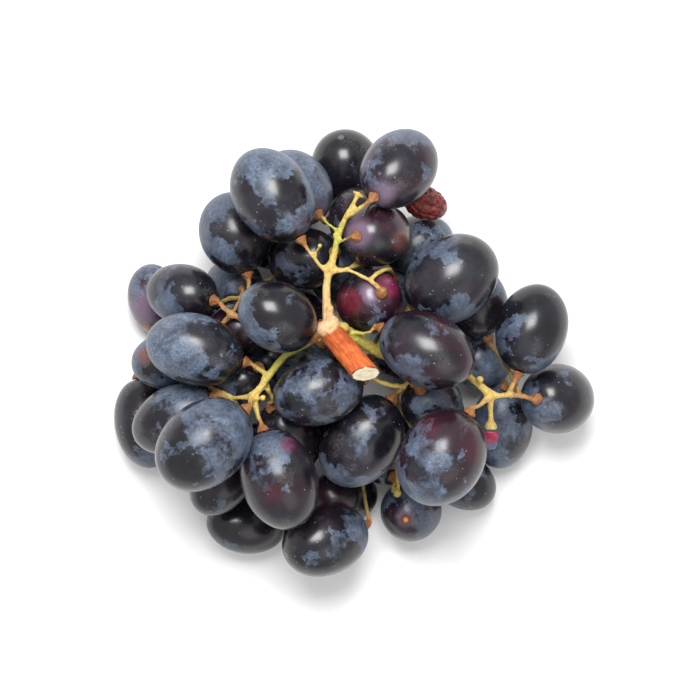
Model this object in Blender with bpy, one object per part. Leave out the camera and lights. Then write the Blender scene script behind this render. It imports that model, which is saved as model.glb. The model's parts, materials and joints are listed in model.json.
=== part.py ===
"""A bunch of black grapes, lying on a flat surface with its cut stalk pointing up.

Every berry is a solid of its own, and the whole branching stalk is one solid.
The script works in millimetres and hands Blender metres. X runs to the right, Y away from the
viewer and Z up, with the berries that carry the bunch resting on Z = 0.
"""

import heapq
import math
from dataclasses import dataclass

import bmesh
import bpy
import numpy as np
from mathutils import Matrix, Vector

MM = 0.001
GAP = 0.3
CONTACT_MARGIN = 0.2

# How a berry is stood for while the bunch settles: a row of balls along its long axis.
BALLS = np.array([-1.0, -0.5, 0.0, 0.5, 1.0])

# Settling: steps, the fall in each, the pull towards the planned place, and limits on a push.
SETTLE_STEPS = 2600
SETTLE_CALM = 0.2
SETTLE_FALL = 0.06
SETTLE_PULL_HOME = 0.02
FIRST_HEIGHT = 12.0
LEVEL_HEIGHT = 26.0
NEAR_ENOUGH = 30.0
LEAST_GIVE = 0.05
MOST_PUSH = 2.0
FRAME_BALL_STEP = 2.0

# A berry is a faceted egg. One that rests on the table has a small flat where it touches.
BERRY_SEGMENTS = 10
BERRY_RINGS = 8
SEAT_SINK = 0.2
SEAT_REACH = 0.1
RAISIN_GROOVES = 5
RAISIN_GROOVE_DEPTH = 0.16

# The stalk: a tube for each branch, with more sides on a thick one, all joined into one solid.
THICK_TUBE_SIDES = 8
THIN_TUBE_SIDES = 5
THIN_TUBE = 1.3
TUBE_STEP = 3.8
LEAST_STEP = 0.5
CURVE_SAMPLES = 12
PEDICEL_RADIUS = 0.8
PEDICEL_ROOT_RADIUS = 1.0
THINNEST = 0.45
ROOT_DEPTHS = (0.25, 0.4, 0.55)
RECEPTACLE_RADIUS = 1.8
RECEPTACLE_LENGTH = 1.7
RIM_HEIGHT = 0.7
RIM_SHARE = 0.9
RECEPTACLE_ROWS = 3

# Hidden stalks follow the shortest free way between the berries, then are eased into a curve.
SEARCH_CELL = 1.0
SEARCH_EDGE = 6.0
SNUG_ROOM = 2.5
OPEN_AIR_COST = 0.8
EASE_STEP = 2.6
EASE_ROUNDS = 16
SEARCHED_EASE = 0.5
ROUTED_EASE = 0.03
EASE_SPARE = 0.2
AROUND = range(-1, 2)
NEIGHBOURS = [(i, j, k) for i in AROUND for j in AROUND for k in AROUND if (i, j, k) != (0, 0, 0)]
NEARBY = range(-4, 5)
NEARBY_CELLS = [np.array((i, j, k)) for i in NEARBY for j in NEARBY for k in NEARBY]

TORN_SKIN_WIDTH = 4.2
TORN_SKIN_LENGTH = 4.8
TORN_SKIN_THICKNESS = 0.6
TORN_SKIN_DROOP = 2.2
TORN_SKIN_TAPER = 0.4
TORN_SKIN_CURL = 0.8
TORN_SKIN_CUTS = 3
TORN_SKIN_OFFSET = Vector((0.0, -3.5, -0.7))

# Colours of the parts, as linear red, green, blue, and their roughness.
COLOURS = {
    "ripe": ((0.012, 0.013, 0.028), 0.4),
    "blushing": ((0.09, 0.012, 0.03), 0.4),
    "shrivelled": ((0.16, 0.02, 0.02), 0.5),
    "stalk": ((0.5, 0.36, 0.12), 0.7),
    "torn": ((0.3, 0.03, 0.06), 0.5),
}


@dataclass
class Berry:
    """One berry: its place in plan, its size, and where its stalk end points.

    heading is the compass angle of the stalk end in plan, anticlockwise from +X, and tilt lifts
    the stalk end above the horizontal, both in degrees. level is how high in the heap the berry
    starts, and slack is how easily its neighbours can push it sideways, from 0 to 1.
    """

    name: str
    x: float
    y: float
    length: float
    width: float
    heading: float
    tilt: float
    level: float
    slack: float = 0.0
    z: float = 0.0
    hung: float = 0.0
    kind: str = "ripe"


CROWN = [
    Berry("crown_berry_1", -22.0, 42.3, 27.3, 21.0, -57, 6, 1.9),
    Berry("crown_berry_2", -15.7, 44.7, 24.0, 18.9, -50, 38, 0.9, 0.1),
    Berry("crown_berry_3", -32.5, 32.5, 22.8, 19.2, -73, 8, 1.2),
    Berry("crown_berry_4", -2.4, 50.6, 23.0, 19.4, -80, -45, 0.5, 0.1),
    Berry("crown_berry_5", 11.7, 49.4, 25.0, 19.2, -131, 36, 1.8),
    Berry("crown_berry_6", 6.1, 32.0, 21.5, 17.2, 186, 58, 1.2, 0.05),
    Berry("crown_berry_7", -2.7, 38.2, 19.0, 15.5, -80, 20, 0.5, 1.0),
    Berry("crown_berry_8", -13.5, 27.0, 21.0, 17.0, 10, 40, 0.7, 1.0),
    Berry("raisin", 18.9, 40.6, 12.5, 10.5, 160, 25, 1.0, 0.0, hung=31.0, kind="shrivelled"),
]

SHOULDER = [
    Berry("shoulder_berry_1", 25.9, 20.0, 27.3, 22.6, -142, -10, 1.3),
    Berry("shoulder_berry_2", 32.4, 14.4, 21.0, 17.5, -70, 0, 0.2, 0.3),
    Berry("shoulder_berry_3", 3.8, 13.9, 21.0, 17.4, 35, 68, 1.1, 0.05, kind="blushing"),
    Berry("shoulder_berry_4", 14.3, 25.2, 20.0, 15.5, 200, 10, 0.5, 0.5),
    Berry("shoulder_berry_5", 11.3, 16.6, 19.0, 15.0, 72, 55, 0.8, 0.5),
]

HEART = [
    Berry("heart_berry_1", -20.7, 9.9, 22.6, 18.4, -30, -20, 1.6),
    Berry("heart_berry_2", -9.7, -10.1, 25.0, 18.4, 15, -10, 1.1),
    Berry("heart_berry_3", 1.8, -23.6, 27.3, 20.8, 54, 6, 0.9),
    Berry("heart_berry_4", 19.2, 0.9, 27.0, 19.8, 154, -10, 1.5),
    Berry("heart_berry_5", -15.7, 10.2, 18.0, 15.0, -20, 40, 0.5, 0.2),
    Berry("heart_berry_6", -12.5, -5.0, 19.0, 16.0, 60, 30, 0.4, 0.6),
    Berry("heart_berry_7", -25.1, -0.9, 17.0, 14.5, 10, 30, 0.1, 0.6),
    Berry("heart_berry_8", -17.0, -23.4, 22.0, 17.0, 122, 36, 1.0, 0.3),
    Berry("heart_berry_9", 18.9, -13.1, 20.0, 16.5, 130, 62, 0.6, 0.4),
]

LEFT_WING = [
    Berry("left_berry_1", -42.9, 1.1, 27.0, 19.2, -14, 0, 1.6),
    Berry("left_berry_2", -46.8, 16.1, 21.5, 16.5, -12, 36, 1.2, 0.05),
    Berry("left_berry_3", -53.5, 13.9, 20.0, 14.5, -80, -20, 0.5, 0.2, kind="blushing"),
    Berry("left_berry_4", -33.5, 16.9, 19.0, 15.8, -16, 76, 1.0, 0.2),
    Berry("left_berry_5", -31.6, 6.3, 17.0, 14.5, 10, 20, 0.3, 0.6),
    Berry("left_berry_6", -51.3, -2.3, 19.0, 15.0, 0, -20, 0.5, 0.2),
    Berry("left_berry_7", -56.4, -18.8, 25.0, 17.5, 100, -5, 0.5, 0.1),
    Berry("left_berry_8", -48.7, -17.6, 25.0, 17.6, 28, 18, 0.8, 0.05),
    Berry("left_berry_9", -40.2, -24.2, 28.6, 22.4, 40, -8, 1.5),
    Berry("left_berry_10", -33.2, -8.5, 18.0, 15.0, 40, 40, 0.5, 0.5),
    Berry("left_berry_11", -36.2, -35.0, 20.0, 15.0, 50, -10, 0.5, 0.3),
]

RIGHT_WING = [
    Berry("right_berry_1", 47.8, 6.6, 25.0, 19.2, -107, 8, 1.2),
    Berry("right_berry_2", 34.8, -2.6, 20.0, 15.4, 158, 62, 0.3, 0.2),
    Berry("right_berry_3", 55.1, -12.3, 24.0, 19.0, 180, 60, 0.5, 0.05),
    Berry("right_berry_4", 38.9, -21.2, 24.0, 17.0, 85, 25, 0.2, 0.2),
    Berry("right_berry_5", 23.2, -27.7, 27.3, 23.0, 58, 0, 1.5),
    Berry("right_berry_6", 31.0, -32.8, 20.0, 15.0, 150, 20, 0.1, 0.3),
]

TIP = [
    Berry("tip_berry_1", -20.3, -33.8, 27.6, 20.6, 108, 0, 1.3),
    Berry("tip_berry_2", -29.8, -46.8, 22.5, 15.5, -8, -20, 0.5, 0.1),
    Berry("tip_berry_3", -8.0, -50.6, 25.0, 19.0, 20, -26, 0.6, 0.1),
    Berry("tip_berry_4", -1.4, -36.9, 21.0, 15.5, 190, 20, 0.2, 0.5, kind="blushing"),
    Berry("tip_berry_5", 5.7, -30.9, 18.0, 14.5, -66, 50, 0.8, 0.5),
    Berry("tip_berry_6", 15.4, -43.1, 20.5, 16.2, -125, 76, 0.7, 0.1),
]

UNDERSIDE = [
    Berry("under_berry_1", -6.8, 18.5, 21.0, 18.0, -90, 20, 0.0, 1.0),
    Berry("under_berry_2", 12.7, 6.3, 22.0, 18.0, 190, 20, 0.0, 1.0),
    Berry("under_berry_3", 21.0, -16.0, 21.0, 18.0, 90, 45, 0.0, 1.0),
    Berry("under_berry_4", -41.9, -12.6, 21.0, 18.0, 30, 20, 0.0, 1.0),
    Berry("under_berry_5", -24.3, 32.0, 20.0, 17.0, -60, 20, 0.0, 1.0),
    Berry("under_berry_6", 20.5, 22.5, 20.0, 17.0, 240, 5, 0.0, 0.3),
    Berry("under_berry_7", -42.9, 8.5, 20.0, 17.0, 0, 20, 0.0, 1.0),
    Berry("under_berry_8", -8.1, -18.0, 22.0, 18.0, 80, 20, 0.0, 1.0),
    Berry("under_berry_9", -26.2, -26.1, 21.0, 18.0, 60, 20, 0.0, 1.0),
]

BUNCH = CROWN + SHOULDER + HEART + LEFT_WING + RIGHT_WING + TIP + UNDERSIDE


@dataclass
class Branch:
    """A stretch of the stalk: its points, each (x, y, z, radius), and the berry at its end, if any.

    A branch whose search is set doesn't begin on another branch: the way back is searched for.
    """

    points: list
    berry: str = ""
    search: bool = False


JUNCTION = (-6.6, 6.6, 43.5, 2.4)
CROWN_NODE = (-6.7, 23.1, 43.4, 1.6)
LEFT_NODE = (-27.3, -11.5, 40.0, 1.5)
RIGHT_NODE = (36.4, -11.2, 35.0, 1.5)
TORN_END = (36.7, -20.0, 31.0, 2.2)

# The thick stretches, which the berries also settle around.
FRAME = [
    Branch([(-6.6, 6.6, 42.0, 2.6), (-5.9, 5.2, 45.0, 3.3), (-2.4, 0.9, 48.6, 3.4), (3.0, -5.6, 54.2, 3.5)]),
    Branch(
        [
            JUNCTION,
            (-6.0, 5.0, 37.0, 2.3),
            (-4.6, 2.4, 29.0, 2.0),
            (-4.0, 1.0, 20.0, 1.7),
            (-4.0, 0.0, 12.0, 1.3),
        ]
    ),
    Branch(
        [
            JUNCTION,
            (-7.6, 14.4, 43.0, 1.5),
            (-7.5, 19.8, 43.0, 1.4),
            CROWN_NODE,
            (-5.4, 26.6, 44.0, 1.4),
            (-4.7, 30.8, 45.2, 1.4),
            (-2.7, 36.0, 47.0, 1.2),
            (-0.8, 39.3, 48.4, 1.1),
            (0.9, 42.4, 49.4, 0.9),
        ]
    ),
    Branch(
        [
            JUNCTION,
            (-11.0, 4.0, 41.5, 1.5),
            (-15.0, 1.8, 39.5, 1.4),
            (-18.9, -0.6, 38.6, 1.3),
            (-21.8, -4.2, 38.8, 1.2),
            (-24.8, -8.5, 39.5, 1.2),
            LEFT_NODE,
        ]
    ),
    Branch(
        [
            (-15.0, 1.8, 39.5, 1.2),
            (-21.0, 2.8, 37.0, 1.1),
            (-27.0, 6.6, 34.5, 1.1),
            (-30.4, 9.6, 33.5, 1.2),
            (-33.2, 10.5, 32.0, 1.0),
        ]
    ),
    Branch(
        [
            JUNCTION,
            (-1.6, 5.6, 41.5, 2.0),
            (3.6, 2.0, 38.0, 1.9),
            (8.4, -0.6, 34.8, 1.7),
            (15.0, -2.6, 33.0, 1.4),
            (23.0, -4.0, 33.0, 1.2),
            (30.5, -6.0, 34.4, 1.1),
            RIGHT_NODE,
        ]
    ),
]

# The thin stretches whose way is seen from above, and short bare twigs that lost their berries.
TWIGS = [
    Branch(
        [CROWN_NODE, (-9.5, 23.3, 43.8, 0.9), (-11.3, 26.3, 44.4, 0.9), (-13.6, 28.8, 44.8, 0.8)],
        "crown_berry_1",
    ),
    Branch([(-11.3, 26.3, 44.4, 0.9), (-10.3, 28.0, 45.4, 0.8), (-9.3, 28.6, 46.6, 1.0)]),
    Branch([(-4.9, 31.5, 45.4, 1.0), (-7.2, 34.6, 43.0, 0.9), (-8.4, 36.2, 37.0, 0.8)], "crown_berry_2"),
    Branch([(-0.9, 36.6, 47.4, 1.1), (2.2, 39.3, 51.0, 1.1)], "crown_berry_5"),
    Branch([(-4.7, 28.5, 44.8, 1.0), (-2.6, 30.6, 47.6, 0.8)], "crown_berry_6"),
    Branch(
        [CROWN_NODE, (-2.2, 22.6, 44.4, 0.9), (1.4, 20.9, 45.0, 0.8), (4.2, 18.4, 44.6, 0.8)],
        "shoulder_berry_3",
    ),
    Branch([(-33.2, 10.5, 32.0, 1.0), (-35.9, 12.6, 31.0, 1.0)], "left_berry_2"),
    Branch([(-33.2, 10.5, 32.0, 1.0), (-31.4, 13.6, 28.4, 0.8)], "left_berry_4"),
    Branch([(-27.0, 6.6, 34.5, 1.0), (-28.2, 12.0, 31.0, 0.9), (-28.8, 17.4, 28.4, 0.9)], "crown_berry_3"),
    Branch([JUNCTION, (-9.0, 6.3, 44.0, 1.3)], "heart_berry_1"),
    Branch([(-23.4, -6.4, 39.2, 1.0), (-27.0, -3.8, 38.4, 0.9)], "left_berry_1"),
    Branch([(-24.2, -7.6, 39.4, 1.0), (-22.3, -10.6, 37.0, 0.8), (-21.9, -13.4, 34.0, 0.8)], "heart_berry_8"),
    Branch([LEFT_NODE, (-31.0, -11.8, 38.0, 0.8), (-34.6, -11.9, 33.0, 0.8)], "left_berry_8"),
    Branch([LEFT_NODE, (-28.2, -13.2, 43.5, 0.9)], "left_berry_9"),
    Branch([LEFT_NODE, (-26.4, -15.4, 40.2, 1.0)], "tip_berry_1"),
    Branch([LEFT_NODE, (-25.6, -12.4, 41.2, 0.7), (-24.6, -11.8, 42.4, 0.8)]),
    Branch(
        [RIGHT_NODE, (39.2, -11.4, 35.0, 0.9), (41.9, -11.1, 33.6, 1.0), (45.4, -11.5, 29.0, 0.9)],
        "right_berry_3",
    ),
    Branch([(41.9, -11.1, 33.6, 1.0), (42.4, -8.4, 30.8, 0.9)], "right_berry_1"),
    Branch([RIGHT_NODE, (33.6, -14.0, 37.4, 0.8)], "right_berry_5"),
    Branch([RIGHT_NODE, (36.6, -15.0, 33.8, 0.9), (36.7, -18.2, 32.0, 1.1), TORN_END]),
    Branch([(-1.6, 5.6, 41.5, 1.2), (2.4, 5.2, 43.2, 0.8), (4.8, 5.6, 45.2, 0.8)], "heart_berry_4"),
    Branch([(15.0, -2.6, 33.0, 1.1), (15.3, -6.2, 35.6, 0.9), (14.2, -9.4, 35.6, 0.9)], "heart_berry_3"),
    Branch([(14.6, -8.4, 35.8, 0.9), (15.6, -8.6, 36.8, 0.8)], "heart_berry_9"),
    Branch([(12.0, -38.4, 22.0, 0.8), (9.8, -37.6, 21.0, 0.8)], "tip_berry_5", search=True),
]

# Berries with a bare scar instead of a stalk.
LOOSE = ("tip_berry_6",)


def axis_of(berry):
    """The unit vector from the berry's middle to its stalk end."""
    heading = math.radians(berry.heading)
    tilt = math.radians(berry.tilt)
    return np.array([math.cos(heading) * math.cos(tilt), math.sin(heading) * math.cos(tilt), math.sin(tilt)])


def balls_of(berry):
    """Places, from the berry's middle, and radii of the balls that fill it."""
    half_length = berry.length / 2
    half_width = berry.width / 2
    focus_squared = half_length**2 - half_width**2
    along = BALLS * focus_squared / half_length
    radii = half_width * np.sqrt(1 - along**2 / focus_squared)
    return along[:, None] * axis_of(berry)[None, :], radii


def middle_of(berry):
    return np.array([berry.x, berry.y, berry.z])


def stalk_end_of(berry):
    return middle_of(berry) + axis_of(berry) * berry.length / 2


def frame_balls():
    """The thick branches as a row of balls each, for the berries to settle around."""
    rows = []
    for branch in FRAME:
        for start, end in zip(branch.points[:-1], branch.points[1:]):
            start = np.array(start)
            end = np.array(end)
            count = max(1, round(np.linalg.norm(end[:3] - start[:3]) / FRAME_BALL_STEP))
            for share in np.arange(count + 1) / count:
                rows.append(start + (end - start) * share)
    return np.array(rows)


def deepest(offsets, reach):
    """For each pair of ball rows, the deepest overlap and the unit direction that parts it."""
    distance = np.linalg.norm(offsets, axis=-1)
    depth = (reach - distance).reshape(len(offsets), -1)
    worst = depth.argmax(axis=1)
    rows = np.arange(len(offsets))
    direction = offsets.reshape(len(offsets), -1, 3)[rows, worst]
    direction /= np.maximum(np.linalg.norm(direction, axis=1), 1e-6)[:, None]
    return depth[rows, worst], direction


def settle(berries):
    """Lets the berries fall and part until they rest on the table, the frame and each other."""
    count = len(berries)
    offsets = np.array([balls_of(berry)[0] for berry in berries])
    radii = np.array([balls_of(berry)[1] for berry in berries]) + CONTACT_MARGIN
    home = np.array([[berry.x, berry.y] for berry in berries])
    slack = np.array([berry.slack for berry in berries])
    levels = np.array([berry.level for berry in berries])
    ease = np.stack([slack, slack, np.ones(count)], axis=1)
    place = np.column_stack([home, FIRST_HEIGHT + LEVEL_HEIGHT * levels])
    one, other = np.triu_indices(count, 1)
    frame = frame_balls()
    frame_radii = frame[:, 3] + CONTACT_MARGIN
    for step in range(SETTLE_STEPS):
        calm = min(1.0, (SETTLE_STEPS - step) / (SETTLE_CALM * SETTLE_STEPS))
        place[:, 2] -= SETTLE_FALL * calm
        place[:, :2] += SETTLE_PULL_HOME * (home - place[:, :2]) * (slack[:, None] > 0)
        for _ in range(2):
            balls = place[:, None, :] + offsets
            near = np.linalg.norm(place[one] - place[other], axis=1) < NEAR_ENOUGH
            first = one[near]
            second = other[near]
            apart = balls[first][:, :, None, :] - balls[second][:, None, :, :]
            depth, direction = deepest(apart, radii[first][:, :, None] + radii[second][:, None, :])
            touching = depth > 0
            first = first[touching]
            second = second[touching]
            direction = direction[touching]
            give_first = (ease[first] * direction**2).sum(axis=1)
            give_second = (ease[second] * direction**2).sum(axis=1)
            push = depth[touching] / np.maximum(give_first + give_second, LEAST_GIVE)
            push = np.minimum(push, MOST_PUSH)[:, None] / 2
            shift = np.zeros_like(place)
            np.add.at(shift, first, ease[first] * direction * push)
            np.add.at(shift, second, -ease[second] * direction * push)
            apart = balls[:, :, None, :] - frame[None, None, :, :3]
            depth, direction = deepest(apart, radii[:, :, None] + frame_radii[None, None, :])
            give = np.maximum((ease * direction**2).sum(axis=1), LEAST_GIVE)
            push = np.minimum(np.maximum(depth, 0) / give, MOST_PUSH)[:, None] / 2
            place += shift + ease * direction * push
        lowest = (place[:, None, 2] + offsets[:, :, 2] - radii + CONTACT_MARGIN).min(axis=1)
        place[:, 2] += np.maximum(-lowest, 0)
    for berry, spot in zip(berries, place):
        berry.x, berry.y, berry.z = spot
        if berry.hung:
            berry.z = berry.hung


class Room:
    """The free room between the berries, on a grid: how far each cell is from the nearest berry."""

    def __init__(self, berries):
        places = []
        radii = []
        for berry in berries:
            offsets, sizes = balls_of(berry)
            places.append(middle_of(berry) + offsets)
            radii.append(sizes)
        self.places = np.concatenate(places)
        self.radii = np.concatenate(radii)
        widest = self.radii.max()
        self.low = self.places.min(axis=0) - widest
        self.low[2] = 0.0
        high = self.places.max(axis=0) + widest
        self.shape = tuple(int(n) for n in np.ceil((high - self.low) / SEARCH_CELL) + 1)
        self.field = np.full(self.shape, SEARCH_EDGE)
        for place, radius in zip(self.places, self.radii):
            self.carve(place, radius)
        heights = self.low[2] + SEARCH_CELL * np.arange(self.shape[2])
        self.field = np.minimum(self.field, heights[None, None, :])

    def carve(self, place, radius):
        """Lowers the field around one ball to the distance from its surface."""
        first = np.maximum(np.floor((place - radius - SEARCH_EDGE - self.low) / SEARCH_CELL), 0).astype(int)
        last = np.ceil((place + radius + SEARCH_EDGE - self.low) / SEARCH_CELL).astype(int) + 1
        last = np.minimum(last, self.shape)
        axes = [self.low[k] + SEARCH_CELL * np.arange(first[k], last[k]) - place[k] for k in range(3)]
        x, y, z = np.meshgrid(*axes, indexing="ij")
        block = tuple(slice(first[k], last[k]) for k in range(3))
        self.field[block] = np.minimum(self.field[block], np.sqrt(x * x + y * y + z * z) - radius)

    def cell_at(self, point):
        cell = np.round((np.array(point[:3]) - self.low) / SEARCH_CELL).astype(int)
        return tuple(int(n) for n in np.clip(cell, 0, np.array(self.shape) - 1))

    def point_at(self, cell):
        return self.low + SEARCH_CELL * np.array(cell)

    def clearance(self, point):
        """Distance from a point to the nearest berry, and the direction away from it."""
        apart = np.array(point[:3]) - self.places
        distance = np.linalg.norm(apart, axis=1) - self.radii
        nearest = distance.argmin()
        away = apart[nearest] / max(np.linalg.norm(apart[nearest]), 1e-6)
        return distance[nearest], away

    def free_cell_near(self, point):
        """The nearest cell to a point that a thin stalk can pass through."""
        middle = np.array(self.cell_at(point))
        best = None
        for step in NEARBY_CELLS:
            cell = tuple(int(n) for n in middle + step)
            if min(cell) < 0 or any(n >= size for n, size in zip(cell, self.shape)):
                continue
            if self.field[cell] >= PEDICEL_RADIUS + GAP:
                apart = np.linalg.norm(self.point_at(cell) - point)
                if best is None or apart < best[0]:
                    best = (apart, cell)
        return best[1] if best else None

    def flood(self, sources):
        """The shortest ways through the free room from the sources to every cell they reach."""
        cost = {}
        parent = {}
        queue = []
        for cell in sources:
            cost[cell] = 0.0
            heapq.heappush(queue, (0.0, cell))
        steps = [(step, SEARCH_CELL * math.hypot(*step)) for step in NEIGHBOURS]
        while queue:
            so_far, cell = heapq.heappop(queue)
            if so_far > cost[cell]:
                continue
            for step, length in steps:
                near = (cell[0] + step[0], cell[1] + step[1], cell[2] + step[2])
                if min(near) < 0 or any(n >= size for n, size in zip(near, self.shape)):
                    continue
                room = self.field[near]
                if room < PEDICEL_RADIUS + GAP or room >= SEARCH_EDGE:
                    continue
                total = so_far + length * (1 + OPEN_AIR_COST * max(room - SNUG_ROOM, 0))
                if total < cost.get(near, math.inf):
                    cost[near] = total
                    parent[near] = cell
                    heapq.heappush(queue, (total, near))
        return cost, parent


def thinned(points, step):
    """The same way with a point about every step, keeping both ends."""
    points = np.array(points, float)
    lengths = np.linalg.norm(np.diff(points[:, :3], axis=0), axis=1)
    along = np.concatenate([[0.0], np.cumsum(lengths)])
    count = max(1, round(along[-1] / step))
    wanted = np.linspace(0.0, along[-1], count + 1)
    return np.column_stack([np.interp(wanted, along, points[:, k]) for k in range(points.shape[1])])


def curved(points, step):
    """A smooth curve through the points, sampled about every step."""
    points = np.array(points, float)
    padded = np.vstack([2 * points[0] - points[1], points, 2 * points[-1] - points[-2]])
    fine = [points[0]]
    for k in range(1, len(padded) - 2):
        before, start, end, after = padded[k - 1 : k + 3]
        for t in np.linspace(0, 1, CURVE_SAMPLES + 1)[1:]:
            bend = -before + 3 * start - 3 * end + after
            turn = 2 * before - 5 * start + 4 * end - after
            fine.append(start + ((end - before) * t + turn * t**2 + bend * t**3) / 2)
    return thinned(fine, step)


def eased(points, room, radius, share):
    """The way between the two ends, kept clear of every berry and smoothed by the given share."""
    way = np.array(points, float)
    for _ in range(EASE_ROUNDS):
        way[1:-1] += share * ((way[:-2] + way[2:]) / 2 - way[1:-1])
        for k in range(1, len(way) - 1):
            distance, away = room.clearance(way[k])
            if distance < radius + GAP + EASE_SPARE:
                way[k] += away * (radius + GAP + EASE_SPARE - distance)
            way[k, 2] = max(way[k, 2], radius + GAP)
    return way


def with_radii(way, room, wanted):
    """Adds a radius to each point: the wanted one, or what the room allows."""
    rows = []
    for point, radius in zip(way, wanted):
        allowed = room.clearance(point)[0] - GAP
        rows.append((*point, max(min(radius, allowed), THINNEST)))
    return np.array(rows)


def balls_of_others(berry):
    """Every other berry as (place, radius) balls."""
    balls = []
    for other in BUNCH:
        if other is not berry:
            offsets, radii = balls_of(other)
            balls += zip(middle_of(other) + offsets, radii)
    return balls


def with_receptacle(way, berry):
    """Ends a branch on the disc that carries the berry, square to the berry's own axis."""
    axis = axis_of(berry)
    others = balls_of_others(berry)
    rows = list(way[:-1])
    for height, wanted in (
        (RECEPTACLE_LENGTH, way[-1][3]),
        (RIM_HEIGHT, RECEPTACLE_RADIUS * RIM_SHARE),
        (0.0, RECEPTACLE_RADIUS),
    ):
        point = stalk_end_of(berry) + axis * (GAP + height)
        allowed = min(np.linalg.norm(point - place) - radius for place, radius in others) - GAP
        rows.append((*point, max(min(wanted, allowed), THINNEST)))
    return np.array(rows)


def tube(rows, name):
    """A closed tube through (x, y, z, radius) rows."""
    sides = THICK_TUBE_SIDES if max(rows[: len(rows) // 2, 3]) > THIN_TUBE else THIN_TUBE_SIDES
    steps = np.linalg.norm(np.diff(rows[:, :3], axis=0), axis=1)
    rows = rows[np.concatenate([[True], steps > LEAST_STEP])]
    points = [Vector(row[:3]) for row in rows]
    shape = bmesh.new()
    rings = []
    side = None
    for k, (point, row) in enumerate(zip(points, rows)):
        before = points[max(k - 1, 0)]
        after = points[min(k + 1, len(points) - 1)]
        along = (after - before).normalized()
        side = along.orthogonal() if side is None else side - along * side.dot(along)
        side.normalize()
        across = along.cross(side)
        ring = []
        for corner in range(sides):
            turn = 2 * math.pi * corner / sides
            spoke = (side * math.cos(turn) + across * math.sin(turn)) * row[3]
            ring.append(shape.verts.new((point + spoke) * MM))
        rings.append(ring)
    for ring, following in zip(rings[:-1], rings[1:]):
        for corner in range(sides):
            following_corner = (corner + 1) % sides
            shape.faces.new(
                (ring[corner], ring[following_corner], following[following_corner], following[corner])
            )
    shape.faces.new(list(reversed(rings[0])))
    shape.faces.new(rings[-1])
    mesh = bpy.data.meshes.new(name)
    shape.to_mesh(mesh)
    shape.free()
    return mesh


def neck_of(berry):
    """Where the thin stalk ends and the receptacle that carries the berry begins."""
    return stalk_end_of(berry) + axis_of(berry) * (GAP + RECEPTACLE_LENGTH)


def routed(branch, room, berry, bark):
    """A hand-routed branch as rows of (x, y, z, radius), eased clear of the berries."""
    points = list(branch.points)
    if not branch.search:
        points[0] = (*nearest_on(bark, points[0][:3]), points[0][3])
    if berry:
        points.append((*neck_of(berry), PEDICEL_RADIUS))
    rows = curved(points, EASE_STEP)
    way = eased(rows[:, :3], room, PEDICEL_RADIUS, ROUTED_EASE)
    rows = with_radii(way, room, rows[:, 3])
    return with_receptacle(rows, berry) if berry else rows


def nearest_on(bark, point):
    """The point of the stalk so far that is nearest to the given one."""
    rows = np.concatenate([rows[:, :3] for rows in bark])
    return rows[np.linalg.norm(rows - point, axis=1).argmin()]


def bark_of(rows, berry):
    """The stretch of a branch that another may spring from: all but its tip or its receptacle."""
    return rows[: -RECEPTACLE_ROWS - 1] if berry else rows[:-1]


def searched(start, room, parent, used, bark):
    """The way from a point back to the stalk, following the flood, as bare points."""
    cell = room.free_cell_near(start[:3])
    cells = []
    while cell is not None and cell not in used:
        cells.append(cell)
        cell = parent.get(cell)
    used.update(cells)
    points = [np.array(start[:3])] + [room.point_at(found) for found in cells]
    if cell is not None:
        points.append(room.point_at(cell))
    points[-1] = nearest_on(bark, points[-1])
    return points[::-1]


def grow_stalk(berries):
    """Every branch of the stalk as rows of (x, y, z, radius)."""
    room = Room(berries)
    by_name = {berry.name: berry for berry in berries}
    branches = []
    bark = []
    for branch in FRAME:
        rows = curved(branch.points, TUBE_STEP)
        branches.append(with_radii(rows[:, :3], room, rows[:, 3]))
        bark.append(branches[-1])
    waiting = []
    carried = set(LOOSE)
    for branch in TWIGS:
        berry = by_name.get(branch.berry)
        rows = routed(branch, room, berry, bark)
        carried.add(branch.berry)
        if branch.search:
            waiting.append((rows[0], None, rows))
        else:
            branches.append(rows)
            bark.append(bark_of(rows, berry))
    waiting += [(neck_of(berry), berry, None) for berry in berries if berry.name not in carried]
    sources = {room.cell_at(row) for rows in bark for row in rows}
    cost, parent = room.flood(sources)
    used = set()
    waiting.sort(key=lambda item: cost.get(room.free_cell_near(item[0][:3]), math.inf))
    for start, berry, rows in waiting:
        way = searched(start, room, parent, used, bark)
        way = eased(thinned(way, EASE_STEP), room, PEDICEL_RADIUS, SEARCHED_EASE)
        way = eased(thinned(way, TUBE_STEP), room, PEDICEL_RADIUS, 0.0)
        wanted = np.linspace(PEDICEL_ROOT_RADIUS, PEDICEL_RADIUS, len(way))
        grown = with_radii(way, room, wanted)
        if berry:
            grown = with_receptacle(grown, berry)
            bark.append(bark_of(grown, berry))
        else:
            grown = np.concatenate([grown[:-1], rows])
            bark.append(grown[: -RECEPTACLE_ROWS - 1])
        branches.append(grown)
    return branches


def clear_scene():
    for thing in list(bpy.data.objects):
        bpy.data.objects.remove(thing, do_unlink=True)


def material(name, kind):
    colour, roughness = COLOURS[kind]
    made = bpy.data.materials.new(name)
    made.use_nodes = True
    shader = made.node_tree.nodes["Principled BSDF"]
    shader.inputs["Base Color"].default_value = (*colour, 1.0)
    shader.inputs["Roughness"].default_value = roughness
    shader.inputs["Metallic"].default_value = 0.0
    made.diffuse_color = (*colour, 1.0)
    return made


def add_object(name, mesh, kind):
    made = bpy.data.objects.new(name, mesh)
    bpy.context.scene.collection.objects.link(made)
    mesh.materials.append(material(name + "_surface", kind))
    return made


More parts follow.
